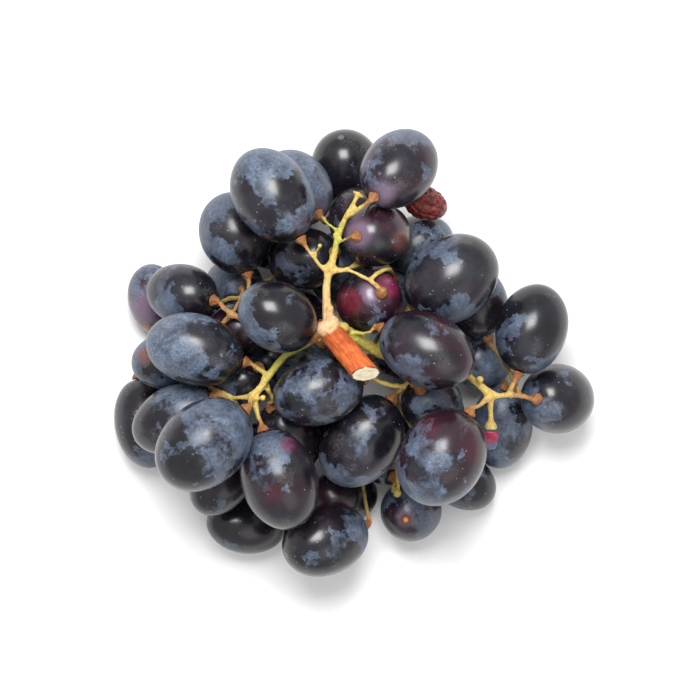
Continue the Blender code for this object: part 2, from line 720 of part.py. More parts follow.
def shrivel(shape):
    """Presses grooves into the raisin that run from end to end."""
    for vertex in shape.verts:
        turn = math.atan2(vertex.co.y, vertex.co.x)
        girth = math.hypot(vertex.co.x, vertex.co.y)
        groove = (1 + math.cos(RAISIN_GROOVES * turn)) * RAISIN_GROOVE_DEPTH * girth
        vertex.co.x *= 1 - groove
        vertex.co.y *= 1 - groove


def build_berry(berry):
    """One berry as an egg whose local Z runs to the stalk end, with a flat where it is sat on."""
    shape = bmesh.new()
    bmesh.ops.create_uvsphere(shape, u_segments=BERRY_SEGMENTS, v_segments=BERRY_RINGS, radius=1.0)
    if berry.kind == "shrivelled":
        shrivel(shape)
    half = Vector((berry.width, berry.width, berry.length)) / 2 * MM
    bmesh.ops.scale(shape, vec=half, verts=shape.verts)
    axis = Vector(axis_of(berry))
    turned = axis.to_track_quat("Z", "Y")
    middle = Vector(middle_of(berry)) * MM
    for face in shape.faces:
        face.smooth = True
    reach = math.sqrt((berry.length * axis.z) ** 2 + berry.width**2 * (1 - axis.z**2)) / 2
    if berry.z - reach < SEAT_REACH and not berry.hung:
        lowest = min((turned @ vertex.co).z for vertex in shape.verts)
        middle.z = -lowest - SEAT_SINK * MM
        down = turned.inverted() @ Vector((0, 0, -1))
        place = turned.inverted() @ Vector((0, 0, -middle.z))
        parts = shape.verts[:] + shape.edges[:] + shape.faces[:]
        cut = bmesh.ops.bisect_plane(shape, geom=parts, plane_co=place, plane_no=down, clear_outer=True)
        rim = [part for part in cut["geom_cut"] if isinstance(part, bmesh.types.BMEdge)]
        bmesh.ops.contextual_create(shape, geom=rim)
    mesh = bpy.data.meshes.new(berry.name)
    shape.to_mesh(mesh)
    shape.free()
    made = add_object(berry.name, mesh, berry.kind)
    made.rotation_mode = "QUATERNION"
    made.rotation_quaternion = turned
    made.location = middle


def rooted(rows, depth):
    """The same branch with its root pushed back into the branch that it springs from."""
    along = rows[1, :3] - rows[0, :3]
    rows = rows.copy()
    rows[0, :3] -= along / np.linalg.norm(along) * depth
    return rows


def keep_largest_body(shape):
    """Deletes the crumbs that a join leaves inside a knot of branches."""
    unseen = set(shape.faces)
    bodies = []
    while unseen:
        body = {unseen.pop()}
        front = list(body)
        while front:
            face = front.pop()
            clean = [edge for edge in face.edges if edge.is_manifold]
            near = {other for edge in clean for other in edge.link_faces} & unseen
            unseen -= near
            body |= near
            front += near
        bodies.append(body)
    largest = max(bodies, key=len)
    crumbs = [face for face in shape.faces if face not in largest]
    bmesh.ops.delete(shape, geom=crumbs, context="FACES")


def build_stalk(branches):
    """Joins the tubes of all branches into the one solid called stem."""
    helpers = bpy.data.collections.new("stem_branches")
    bpy.context.scene.collection.children.link(helpers)
    for number, rows in enumerate(branches[1:]):
        rows = rooted(rows, ROOT_DEPTHS[number % len(ROOT_DEPTHS)])
        helpers.objects.link(bpy.data.objects.new(f"branch_{number}", tube(rows, f"branch_{number}")))
    stem = add_object("stem", tube(branches[0], "stem"), "stalk")
    join = stem.modifiers.new("join_branches", "BOOLEAN")
    join.operation = "UNION"
    join.operand_type = "COLLECTION"
    join.collection = helpers
    join.solver = "MANIFOLD"
    bpy.context.view_layer.update()
    joined = bpy.data.meshes.new_from_object(stem.evaluated_get(bpy.context.evaluated_depsgraph_get()))
    stem.modifiers.remove(join)
    for helper in list(helpers.objects):
        bpy.data.objects.remove(helper, do_unlink=True)
    bpy.data.collections.remove(helpers)
    shape = bmesh.new()
    shape.from_mesh(joined)
    keep_largest_body(shape)
    for face in shape.faces:
        face.smooth = True
    shape.to_mesh(joined)
    shape.free()
    stem.data = joined


def build_torn_skin(torn_end):
    """A scrap of skin left hanging under the bare receptacle."""
    shape = bmesh.new()
    size = Vector((TORN_SKIN_WIDTH, TORN_SKIN_LENGTH, TORN_SKIN_THICKNESS)) * MM
    bmesh.ops.create_cube(shape, size=1.0, matrix=Matrix.Diagonal(size).to_4x4())
    long_edges = [edge for edge in shape.edges if abs((edge.verts[0].co - edge.verts[1].co).y) > 0]
    bmesh.ops.subdivide_edges(shape, edges=long_edges, cuts=TORN_SKIN_CUTS, use_grid_fill=True)
    for vertex in shape.verts:
        share = 0.5 - vertex.co.y / size.y
        vertex.co.z -= TORN_SKIN_DROOP * MM * share**2
        vertex.co.x *= 1 - TORN_SKIN_TAPER * share
        vertex.co.z += TORN_SKIN_CURL * MM * (2 * vertex.co.x / size.x) ** 2
    mesh = bpy.data.meshes.new("torn_skin")
    shape.to_mesh(mesh)
    shape.free()
    made = add_object("torn_skin", mesh, "torn")
    made.location = (Vector(torn_end[:3]) + TORN_SKIN_OFFSET) * MM


def centre_over_origin():
    """Moves the whole bunch so that the middle of its outline in plan is at X = Y = 0."""
    graph = bpy.context.evaluated_depsgraph_get()
    corners = []
    for thing in bpy.context.scene.objects:
        if not thing.hide_render:
            corners += [thing.matrix_world @ vertex.co for vertex in thing.evaluated_get(graph).data.vertices]
    for axis in range(2):
        values = [corner[axis] for corner in corners]
        middle = (min(values) + max(values)) / 2
        for thing in bpy.context.scene.objects:
            thing.location[axis] -= middle


def main():
    clear_scene()
    settle(BUNCH)
    for berry in BUNCH:
        build_berry(berry)
    build_stalk(grow_stalk(BUNCH))
    build_torn_skin(TORN_END)
    bpy.context.view_layer.update()
    centre_over_origin()


main()
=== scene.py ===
"""The looks of a bunch of black grapes lying on a flat surface.

Every grape of the frame gets a smooth skin with its own worn bloom, and the branching stalk is
grown from the frame's stalk with round receptacles, warts and bark. Lengths in the classes are
in millimetres unless their words say metres, and meshes are made in metres.
"""

import json
import logging
import math
import random
from dataclasses import dataclass
from enum import Enum
from typing import Any, Sequence

import bmesh
import bpy
import numpy as np
from mathutils import Matrix, Vector, noise


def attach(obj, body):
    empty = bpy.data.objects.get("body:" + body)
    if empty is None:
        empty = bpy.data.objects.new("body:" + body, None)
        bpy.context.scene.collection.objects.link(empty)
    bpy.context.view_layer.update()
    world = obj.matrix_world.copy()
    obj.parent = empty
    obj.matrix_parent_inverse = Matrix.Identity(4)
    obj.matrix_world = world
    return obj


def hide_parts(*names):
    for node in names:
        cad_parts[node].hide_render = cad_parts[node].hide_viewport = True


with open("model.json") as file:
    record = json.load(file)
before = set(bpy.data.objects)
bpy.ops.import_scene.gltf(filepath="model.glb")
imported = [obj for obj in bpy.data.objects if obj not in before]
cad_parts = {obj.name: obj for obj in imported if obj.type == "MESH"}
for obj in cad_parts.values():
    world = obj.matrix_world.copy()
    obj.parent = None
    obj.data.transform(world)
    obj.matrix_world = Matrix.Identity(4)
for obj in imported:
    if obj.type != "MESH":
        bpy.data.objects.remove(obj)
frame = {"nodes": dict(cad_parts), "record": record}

MM = 0.001
Colour = tuple[float, float, float]
Place = tuple[float, float, float]
log = logging.getLogger("grapes")


# ---------------------------------------------------------------- shader sums


@dataclass
class Flow:
    """A number, colour or vector on its way through a shader, which takes part in Python sums."""

    graph: "Graph"
    socket: bpy.types.NodeSocket

    def _sum(self, operation: str, first: Any, second: Any) -> "Flow":
        """Joins two numbers in one Math node.

        Args:
            operation: Blender's name for the sum.
            first: A flow or a plain number.
            second: A flow or a plain number.

        Returns:
            The result.
        """
        return self.graph.node("ShaderNodeMath", {"operation": operation}, {0: first, 1: second})

    def __add__(self, other: Any) -> "Flow":
        """Adds."""
        return self._sum("ADD", self, other)

    def __radd__(self, other: Any) -> "Flow":
        """Adds, with a plain number on the left."""
        return self._sum("ADD", other, self)

    def __sub__(self, other: Any) -> "Flow":
        """Takes away."""
        return self._sum("SUBTRACT", self, other)

    def __rsub__(self, other: Any) -> "Flow":
        """Takes away from a plain number."""
        return self._sum("SUBTRACT", other, self)

    def __mul__(self, other: Any) -> "Flow":
        """Multiplies."""
        return self._sum("MULTIPLY", self, other)

    def __rmul__(self, other: Any) -> "Flow":
        """Multiplies, with a plain number on the left."""
        return self._sum("MULTIPLY", other, self)

    def size(self) -> "Flow":
        """The number without its sign."""
        return self._sum("ABSOLUTE", self, 0.0)


class Graph:
    """The shader nodes of one material."""

    def __init__(self, name: str) -> None:
        """Starts an empty material.

        Args:
            name: The material's name.
        """
        self.material = bpy.data.materials.new(name)
        self.material.use_nodes = True
        self.tree = self.material.node_tree
        self.tree.nodes.clear()

    def node(
        self,
        kind: str,
        settings: dict[str, Any] | None = None,
        sockets: dict[int | str, Any] | None = None,
        output: int | str = 0,
    ) -> Flow:
        """Adds one node.

        Args:
            kind: Blender's name for the node type.
            settings: Properties set before the sockets.
            sockets: Values or flows by socket number or name.
            output: The output that the result stands for.

        Returns:
            The flow out of the node.
        """
        made = self.tree.nodes.new(kind)
        for key, value in (settings or {}).items():
            setattr(made, key, value)
        for key, value in (sockets or {}).items():
            socket = made.inputs[key]
            if isinstance(value, Flow):
                self.tree.links.new(value.socket, socket)
            else:
                socket.default_value = value
        return Flow(self, made.outputs[output] if made.outputs else None)

    def noise(self, place: Flow, scale: float, detail: float = 4.0, rough: float = 0.55) -> Flow:
        """Cloudy noise between 0 and 1.

        Args:
            place: Where to read it.
            scale: Lumps per unit of place.
            detail: How many finer layers it has.
            rough: How strong the finer layers are.

        Returns:
            The noise as a number.
        """
        sockets = {"Vector": place, "Scale": scale, "Detail": detail, "Roughness": rough}
        return self.node("ShaderNodeTexNoise", None, sockets)

    def step(self, value: Flow, start: Any, end: Any) -> Flow:
        """A soft step.

        Args:
            value: What is tested.
            start: Where the step leaves 0.
            end: Where it reaches 1.

        Returns:
            A number from 0 to 1.
        """
        sockets = {"Value": value, "From Min": start, "From Max": end}
        return self.node("ShaderNodeMapRange", {"interpolation_type": "SMOOTHSTEP"}, sockets)

    def mix(self, share: Any, first: Any, second: Any, blend: str = "MIX") -> Flow:
        """Mixes two colours.

        Args:
            share: How much of the second there is.
            first: The first colour or flow.
            second: The second colour or flow.
            blend: How they combine.

        Returns:
            The mixed colour.
        """
        settings = {"data_type": "RGBA", "blend_type": blend}
        sides = [(*side, 1.0) if isinstance(side, tuple) else side for side in (first, second)]
        return self.node("ShaderNodeMix", settings, {0: share, 6: sides[0], 7: sides[1]}, 2)

    def attribute(self, name: str, output: str = "Vector") -> Flow:
        """Reads a value that is stored on the mesh.

        Args:
            name: The attribute's name.
            output: Which of the node's outputs is read.

        Returns:
            The value.
        """
        return self.node("ShaderNodeAttribute", {"attribute_name": name}, None, output)

    def channels(self, colour: Flow) -> tuple[Flow, Flow, Flow]:
        """Splits a colour or vector.

        Args:
            colour: What is split.

        Returns:
            Its three numbers.
        """
        made = self.node("ShaderNodeSeparateXYZ", None, {0: colour}).socket.node
        return tuple(Flow(self, made.outputs[k]) for k in range(3))

    def moved(self, place: Flow, push: Flow, amount: float) -> Flow:
        """Shifts a place.

        Args:
            place: The place.
            push: The direction of the shift at each place.
            amount: How far it goes.

        Returns:
            The shifted place.
        """
        scaled = self.node("ShaderNodeVectorMath", {"operation": "SCALE"}, {0: push, "Scale": amount})
        return self.node("ShaderNodeVectorMath", {"operation": "ADD"}, {0: place, 1: scaled})

    def bump(self, height: Flow, strength: float, distance_mm: float) -> Flow:
        """Turns a height into a normal.

        Args:
            height: The relief, from 0 to 1.
            strength: How strongly it shows.
            distance_mm: How high 1 stands.

        Returns:
            The normal.
        """
        sockets = {"Strength": strength, "Distance": distance_mm * MM, "Height": height}
        return self.node("ShaderNodeBump", None, sockets)

    def surface(self, sockets: dict[str, Any]) -> bpy.types.Material:
        """Ends the graph in one Principled shader.

        Args:
            sockets: The shader's values and flows by socket name.

        Returns:
            The finished material.
        """
        shader = self.node("ShaderNodeBsdfPrincipled", None, sockets)
        self.node("ShaderNodeOutputMaterial", None, {"Surface": shader})
        return self.material


# ---------------------------------------------------------------- finishes


@dataclass(frozen=True)
class BloomedSkin:
    """Blue-black grape skin under a waxy bloom that is rubbed off in sharp-edged patches.

    Scales are lumps per millimetre. Shares, limits and edges run from 0 to 1.
    """

    black: Colour = (0.005, 0.005, 0.008)
    wine: Colour = (0.035, 0.005, 0.014)
    bloom_deep: Colour = (0.085, 0.12, 0.19)
    bloom_pale: Colour = (0.225, 0.28, 0.37)
    haze: Colour = (0.036, 0.041, 0.054)
    dust: Colour = (0.55, 0.54, 0.5)
    blossom: Colour = (0.12, 0.07, 0.045)
    bend_scale: float = 0.12
    bend_reach: float = 6.0
    patch_scale: float = 0.088
    nibble_scale: float = 0.42
    nibble_share: float = 0.2
    bare_limit: float = 0.655
    bloom_gain: float = 0.29
    crisp_edge: float = 0.012
    soft_edge: float = 0.08
    mottle_scale: float = 1.3
    film_scale: float = 0.1
    blush_scale: float = 0.1
    worn_scale: float = 0.11
    depth_scale: float = 0.26
    rubbed_scale: float = 0.9
    rubbed_share: float = 0.5
    clean_stain: float = 0.65
    speck_scale: float = 0.62
    dust_share: float = 0.5
    ridge_scale: float = 1.1
    scuff_scale: float = 0.12
    scuff_share: float = 0.12
    dot_radius: float = 0.55
    ring_radius: float = 1.0
    smooth: float = 0.24
    ior: float = 1.48

    def make(self) -> bpy.types.Material:
        """Builds the material, which reads the attributes that a grape's mesh carries.

        Returns:
            The material.
        """
        graph = Graph("bloomed_skin")
        place = graph.attribute("grape_place")
        amount, blue, red = graph.channels(graph.attribute("grape_tone"))
        stain = graph.attribute("grape_stain", "Color")
        stained = graph.attribute("grape_stain", "Alpha")
        sockets = {"Vector": place, "Scale": self.bend_scale, "Detail": 3.0}
        push = graph.node("ShaderNodeTexNoise", None, sockets, 1)
        bent = graph.moved(place, push, self.bend_reach)
        mottle = graph.noise(place, self.mottle_scale, 5.0, 0.7)
        bare = 1 - stained * self.clean_stain
        thick = self._thick_coat(graph, place, bent, amount) * (0.6 + mottle * 0.7) * bare
        film = graph.step(graph.noise(bent, self.film_scale, 6.0, 0.66), 0.38, 0.72)
        thin = film * (0.2 + amount * 0.55) * (0.6 + mottle * 0.6)
        dust, scuff = self._specks(graph, place)

        blush = red * graph.step(graph.noise(place, self.blush_scale, 3.0), 0.35, 0.62)
        skin = graph.mix(blush, self.black, self.wine)
        skin = graph.mix(stained, skin, stain)
        skin = graph.mix(thin, skin, self.haze)
        wax = graph.mix(graph.step(mottle, 0.35, 0.75) * blue, self.bloom_deep, self.bloom_pale)
        coated = graph.mix(thick * (0.45 + blue * 0.55), skin, wax)
        coated = graph.mix(dust * self.dust_share + scuff * self.scuff_share, coated, self.dust)
        coated = self._blossom_end(graph, coated)
        relief = thick * 0.4 + mottle * 0.25 + dust
        return graph.surface(
            {
                "Base Color": coated,
                "Roughness": self.smooth + thick * 0.24 + thin * 0.12 + dust * 0.3,
                "IOR": self.ior,
                "Normal": graph.bump(relief, 0.35, 0.05),
            }
        )

    def _thick_coat(self, graph: Graph, place: Flow, bent: Flow, amount: Flow) -> Flow:
        """Where the bloom still lies thick.

        Args:
            graph: The skin's graph.
            place: The grape's own coordinates.
            bent: The same, bent so that patches run in ragged curves.
            amount: How much of the grape is coated.

        Returns:
            The coat's thickness, from 0 to 1.
        """
        patches = graph.noise(bent, self.patch_scale, 7.0, 0.58)
        nibbles = graph.noise(place, self.nibble_scale, 6.0, 0.66)
        mixed = patches * (1 - self.nibble_share) + nibbles * self.nibble_share
        limit = self.bare_limit - amount * self.bloom_gain
        worn = graph.step(graph.noise(place, self.worn_scale, 2.0), 0.42, 0.62)
        edge = self.crisp_edge + self.soft_edge * worn
        cover = graph.step(mixed, limit - 0.01, limit + edge)
        depth = graph.step(graph.noise(bent, self.depth_scale, 6.0, 0.68), 0.3, 0.68)
        rubbed = graph.step(graph.noise(bent, self.rubbed_scale, 4.0, 0.75), 0.58, 0.64)
        return cover * (0.3 + depth * 0.7) * (1 - rubbed * self.rubbed_share)

    def _specks(self, graph: Graph, place: Flow) -> tuple[Flow, Flow]:
        """Finds the pale dust specks and the faint scuffs.

        Args:
            graph: The skin's graph.
            place: The grape's own coordinates.

        Returns:
            The dust and the scuffs, each from 0 to 1.
        """
        ridge = 1 - (graph.noise(place, self.ridge_scale, 3.0, 0.8) * 2 - 1).size()
        patch = graph.step(graph.noise(place, self.scuff_scale, 2.0), 0.56, 0.7)
        scuff = graph.step(ridge, 0.9, 1.0) * patch
        sockets = {"Vector": place, "Scale": self.speck_scale, "Randomness": 1.0}
        specks = graph.node("ShaderNodeTexVoronoi", {"feature": "F1"}, sockets).socket.node
        near = Flow(graph, specks.outputs["Distance"])
        chosen = graph.channels(Flow(graph, specks.outputs["Color"]))[0]
        dust = graph.step(near, 0.06 + chosen * 0.1, 0.04) * graph.step(chosen, 0.66, 0.8)
        return dust, scuff

    def _blossom_end(self, graph: Graph, coated: Flow) -> Flow:
        """Adds the brown dot at the blossom end and the pale ring round it.

        Args:
            graph: The skin's graph.
            coated: The colour of the coated skin.

        Returns:
            The colour with the dot and the ring.
        """
        radial, height, _ = graph.channels(graph.attribute("grape_ends"))
        under = graph.step(height, 0.0, -0.2)
        ring = graph.step(radial, self.ring_radius, 0.7) * under
        dot = graph.step(radial, self.dot_radius, 0.38) * under
        coated = graph.mix(ring * 0.3, coated, self.bloom_pale)
        return graph.mix(dot, coated, self.blossom)


@dataclass(frozen=True)
class BarkSkin:
    """Bark of a fresh stalk: fibres, warts and dark streaks over the colour that the mesh carries."""

    wart: Colour = (0.16, 0.065, 0.025)
    streak: Colour = (0.36, 0.05, 0.015)
    dark_fibre: Colour = (0.78, 0.68, 0.55)
    pale_fibre: Colour = (1.08, 1.1, 1.15)
    fibre_scale: float = 1.1
    blotch_scale: float = 0.35
    wart_scale: float = 1.3
    ior: float = 1.4

    def make(self) -> bpy.types.Material:
        """Builds the material, which reads the colour and the grain that the stalk carries.

        Returns:
            The material.
        """
        graph = Graph("stalk_bark")
        tint = graph.attribute("bark_tint", "Color")
        warty = graph.attribute("bark_tint", "Alpha")
        grain = graph.attribute("bark_grain")
        streaky, calm, _ = graph.channels(graph.attribute("bark_marks"))
        fibres = graph.step(graph.noise(grain, self.fibre_scale, 6.0, 0.65), 0.3, 0.7)
        fibres = fibres * (1 - calm * 0.8) + calm * 0.6
        blotches = graph.noise(grain, self.blotch_scale, 4.0, 0.6)
        shade = graph.mix(1.0, tint, graph.mix(fibres, self.dark_fibre, self.pale_fibre), "MULTIPLY")
        streak = graph.step(fibres, 0.55, 0.1) * streaky
        shade = graph.mix(streak * 0.75, shade, self.streak)
        tone = graph.mix(graph.step(blotches, 0.5, 0.75) * (0.08 + warty * 0.5), shade, self.wart)
        sockets = {"Vector": grain, "Scale": self.wart_scale}
        dots = graph.node("ShaderNodeTexVoronoi", {"feature": "F1"}, sockets)
        wart = graph.step(dots, 0.32, 0.16) * warty
        tone = graph.mix(wart * 0.7, tone, self.wart)
        relief = fibres * 0.6 + wart * 0.8
        return graph.surface(
            {
                "Base Color": tone,
                "Roughness": 0.5 + fibres * 0.25,
                "IOR": self.ior,
                "Normal": graph.bump(relief, 0.6, 0.25),
            }
        )


@dataclass(frozen=True)
class DriedSkin:
    """Wrinkled dark red skin, used for the shrivelled grape and the torn scrap, with painted shade in the
    hollows of its folds and painted light on its raised folds and grain.

    Scales are lumps per metre.
    """

    name: str
    # The skin's own dark red is painted darker in the fold hollows as painted shade and lighter on the
    # raised folds as painted light. The ridge colour is a painted highlight on the raised grain.
    fold_hollow_shade: Colour
    raised_fold_light: Colour
    ridge: Colour
    faded: Colour = (0.0, 0.0, 0.0)
    fold_scale: float = 420.0
    grain_scale: float = 1500.0
    ior: float = 1.42

    def make(self) -> bpy.types.Material:
        """Builds the material, faded where the piece's own attribute says so.

        Returns:
            The material.
        """
        graph = Graph(self.name)
        place = graph.node("ShaderNodeTexCoord", None, None, "Object")
        folds = graph.noise(place, self.fold_scale, 6.0, 0.65)
        grain = graph.noise(place, self.grain_scale, 4.0, 0.6)
        # Painted shade in the fold hollows and painted light on the raised folds and grain, which the bump
        # also raises.
        tone = graph.mix(graph.step(folds, 0.35, 0.7), self.fold_hollow_shade, self.raised_fold_light)
        tone = graph.mix(graph.step(grain, 0.55, 0.8) * 0.6, tone, self.ridge)
        fade = graph.channels(graph.attribute("skin_fade"))[0]
        tone = graph.mix(fade, tone, self.faded)
        return graph.surface(
            {
                "Base Color": tone,
                "Roughness": 0.2 + grain * 0.25,
                "IOR": self.ior,
                "Normal": graph.bump(folds + grain * 0.4, 0.7, 0.3),
            }
        )


@dataclass(frozen=True)
class PaleGround:
    """The plain pale floor."""

    colour: Colour = (0.86, 0.86, 0.86)
    rough: float = 0.9

    def make(self) -> bpy.types.Material:
        """Builds the material.

        Returns:
            The material.
        """
        graph = Graph("pale_ground")
        return graph.surface({"Base Color": (*self.colour, 1.0), "Roughness": self.rough})


# ---------------------------------------------------------------- mesh helpers


def finish_mesh(
    shape: bmesh.types.BMesh, name: str, finishes: Sequence[bpy.types.Material]
) -> bpy.types.Object:
    """Turns a bmesh into a smooth-shaded object at the origin.

    Args:
        shape: The shape in metres, which is freed.
        name: The object's name.
        finishes: Its materials in slot order.

    Returns:
        The linked object.
    """
    for face in shape.faces:
        face.smooth = True
    mesh = bpy.data.meshes.new(name)
    shape.to_mesh(mesh)
    shape.free()
    for finish in finishes:
        mesh.materials.append(finish)
    made = bpy.data.objects.new(name, mesh)
    bpy.context.scene.collection.objects.link(made)
    return made


def places_of(mesh: bpy.types.Mesh) -> np.ndarray:
    """Reads the vertices of a mesh.

    Args:
        mesh: The mesh.

    Returns:
        A row of X, Y and Z in metres for each vertex.
    """
    flat = np.empty(len(mesh.vertices) * 3, np.float32)
    mesh.vertices.foreach_get("co", flat)
    return flat.reshape(-1, 3).astype(float)


def store(mesh: bpy.types.Mesh, name: str, rows: np.ndarray) -> None:
    """Stores one vector or colour per vertex on a mesh.

    Args:
        mesh: The mesh.
        name: The attribute's name.
        rows: One row of three or four numbers for each vertex.
    """
    kind, key = ("FLOAT_VECTOR", "vector") if rows.shape[1] == 3 else ("FLOAT_COLOR", "color")
    made = mesh.attributes.new(name, kind, "POINT")
    made.data.foreach_set(key, rows.astype(np.float32).ravel())


def turn_to(axis: Vector) -> Matrix:
    """Finds the turn that takes +Z to an axis.

    Args:
        axis: The axis.

    Returns:
        The turn.
    """
    return axis.to_track_quat("Z", "Y").to_matrix().to_4x4()


def waves(places: np.ndarray, span: float) -> np.ndarray:
    """Reads smooth noise at many places.

    Args:
        places: Places in millimetres.
        span: The size of one lump, in millimetres.

    Returns:
        A number from about -1 to 1 for each place.
    """
    return np.array([noise.noise(Vector(place) / span) for place in places])


def soften(shape: bmesh.types.BMesh) -> None:
    """Moves every vertex half way to the middle of its neighbours.

    Args:
        shape: The shape that is smoothed.
    """
    bmesh.ops.smooth_vert(
        shape, verts=shape.verts, factor=0.5, use_axis_x=True, use_axis_y=True, use_axis_z=True
    )


# ---------------------------------------------------------------- grapes


@dataclass
class GrapeSeat:
    """Where one grape of the frame stands, in metres."""

    middle: Vector
    axis: Vector
    length: float
    width: float

    @property
    def stalk_end(self) -> Vector:
        """The pole that the stalk holds."""
        return self.middle + self.axis * self.length / 2

    @classmethod
    def read(cls, node: bpy.types.Object, stem: np.ndarray, loose: bool) -> "GrapeSeat":
        """Finds a grape's poles, the corners where most facets of its solid meet.

        Args:
            node: The grape's solid in the frame.
            stem: The places of the stalk's vertices.
            loose: True if the grape has no stalk, so that its scar faces up.

        Returns:
            The seat.
        """
        places = np.round(places_of(node.data), 7)
        corners = places[[corner.vertex_index for corner in node.data.loops]]
        spots, counts = np.unique(corners, axis=0, return_counts=True)
        order = np.argsort(-counts)
        first = spots[order[0]]
        others = spots[order[1:]]
        likely = counts[order[1:]] >= counts[order[0]] - 2
        gaps = np.linalg.norm(others - first, axis=1) * np.where(likely, 1.0, 0.5)
        second = others[gaps.argmax()]
        poles = [first, second]
        if loose:
            poles.sort(key=lambda pole: -pole[2])
        else:
            poles.sort(key=lambda pole: np.linalg.norm(stem - pole, axis=1).min())
        top, bottom = (Vector(pole) for pole in poles)
        axis = (top - bottom).normalized()
        middle = (top + bottom) / 2
        apart = spots - np.array(middle)
        across = apart - np.outer(apart @ np.array(axis), np.array(axis))
        width = 2 * np.linalg.norm(across, axis=1).max()
        return cls(middle, axis, (top - bottom).length, width)


@dataclass(frozen=True)
class Stain:
    """A soft patch of another colour on a grape, placed in plan, in millimetres."""

    x: float
    y: float
    size: float
    colour: Colour
    strength: float = 0.8


@dataclass(frozen=True)
class GrapeLook:
    """How one grape differs from the rest.

    bloom is how much of it is coated, blue how thick the coat is and red how wine-red the skin
    is, each from 0 to 1. The coat gathers towards lean, a direction in plan.
    """

    bloom: float = 0.5
    blue: float = 0.5
    red: float = 0.2
    stains: tuple[Stain, ...] = ()
    lean: tuple[float, float] = (0.0, 0.0)
    scar: bool = False


WINE: Colour = (0.06, 0.006, 0.014)
CHERRY: Colour = (0.12, 0.005, 0.02)
MAGENTA: Colour = (0.2, 0.012, 0.055)
LILAC: Colour = (0.2, 0.13, 0.2)
RUST: Colour = (0.2, 0.06, 0.03)
AMBER: Colour = (0.35, 0.16, 0.05)

LOOKS: dict[str, GrapeLook] = {
    "crown_berry_1": GrapeLook(0.56, 0.7, 0.15, (Stain(-13.5, 34.5, 3.0, WINE, 0.5),), (0.05, 0.25)),
    "crown_berry_2": GrapeLook(0.7, 0.65, 0.3, (Stain(-9.5, 37.0, 4.0, LILAC, 0.7),), (0.0, 0.4)),
    "crown_berry_3": GrapeLook(0.62, 0.5, 0.1, (), (-0.2, 0.4)),
    "crown_berry_4": GrapeLook(0.2, 0.3, 0.1),
    "crown_berry_5": GrapeLook(0.46, 0.5, 0.4, (Stain(7.5, 42.0, 3.4, LILAC, 0.7),), (-0.3, 0.3)),
    "crown_berry_6": GrapeLook(
        0.35, 0.4, 0.8, (Stain(0.8, 31.6, 4.0, LILAC), Stain(13.0, 29.5, 3.0, RUST, 0.5))
    ),
    "crown_berry_7": GrapeLook(0.3, 0.3, 0.3),
    "crown_berry_8": GrapeLook(0.35, 0.4, 0.2),
    "shoulder_berry_1": GrapeLook(0.5, 0.6, 0.15),
    "shoulder_berry_2": GrapeLook(0.4, 0.4, 0.2),
    "shoulder_berry_3": GrapeLook(
        0.3,
        0.6,
        0.9,
        (
            Stain(-1.0, 13.5, 3.5, CHERRY, 0.95),
            Stain(9.5, 18.0, 3.4, MAGENTA, 0.8),
            Stain(4.2, 15.6, 3.0, LILAC, 0.8),
        ),
    ),
    "shoulder_berry_4": GrapeLook(0.8, 0.7, 0.1),
    "shoulder_berry_5": GrapeLook(0.8, 0.7, 0.1),
    "heart_berry_1": GrapeLook(0.5, 0.65, 0.1, (), (-0.6, -0.2)),
    "heart_berry_2": GrapeLook(0.5, 0.6, 0.1, (), (0.1, 0.2)),
    "heart_berry_3": GrapeLook(0.54, 0.6, 0.15, (), (0.0, -0.2)),
    "heart_berry_4": GrapeLook(0.42, 0.5, 0.6, (Stain(13.0, -7.0, 3.0, WINE, 0.4),), (-0.5, -0.3)),
    "heart_berry_6": GrapeLook(0.7, 0.6, 0.1),
    "heart_berry_8": GrapeLook(0.3, 0.3, 0.2),
    "left_berry_1": GrapeLook(0.6, 0.8, 0.05, (), (-0.3, 0.2)),
    "left_berry_2": GrapeLook(0.5, 0.5, 0.1),
    "left_berry_3": GrapeLook(
        0.6, 0.8, 0.8, (Stain(-56.0, 12.0, 6.0, LILAC, 0.8), Stain(-56.5, 5.0, 3.5, AMBER, 0.7))
    ),
    "left_berry_4": GrapeLook(0.65, 0.5, 0.2),
    "left_berry_5": GrapeLook(0.35, 0.4, 0.6),
    "left_berry_6": GrapeLook(0.55, 0.5, 0.2, (Stain(-56.4, -0.9, 2.6, RUST, 0.8),)),
    "left_berry_7": GrapeLook(0.4, 0.5, 0.2),
    "left_berry_8": GrapeLook(0.6, 0.7, 0.15, (), (0.2, 0.5)),
    "left_berry_9": GrapeLook(0.52, 0.6, 0.02, (), (0.5, 0.35)),
    "right_berry_1": GrapeLook(0.44, 0.55, 0.1, (), (0.2, -0.5)),
    "right_berry_2": GrapeLook(0.7, 0.6, 0.1),
    "right_berry_3": GrapeLook(0.46, 0.6, 0.1, (), (-0.9, 0.0)),
    "right_berry_4": GrapeLook(0.72, 0.6, 0.1, (), (-0.1, 0.3)),
    "right_berry_5": GrapeLook(
        0.38,
        0.7,
        0.6,
        (Stain(19.9, -20.0, 3.0, WINE, 0.8), Stain(31.2, -26.0, 3.6, WINE, 0.5)),
        (-0.9, -0.8),
    ),
    "tip_berry_1": GrapeLook(
        0.4, 0.6, 0.3, (Stain(-18.0, -24.8, 2.2, MAGENTA), Stain(-21.5, -37.5, 2.8, WINE, 0.6)), (-0.5, 0.5)
    ),
    "tip_berry_2": GrapeLook(0.3, 0.35, 0.2),
    "tip_berry_3": GrapeLook(0.38, 0.5, 0.2, (), (0.4, 0.1)),
    "tip_berry_4": GrapeLook(0.3, 0.35, 0.6),
    "tip_berry_5": GrapeLook(0.4, 0.3, 0.6),
    "tip_berry_6": GrapeLook(0.5, 0.4, 0.3, (Stain(14.0, -45.0, 2.6, LILAC, 0.5),), (0.2, 0.1), True),
}


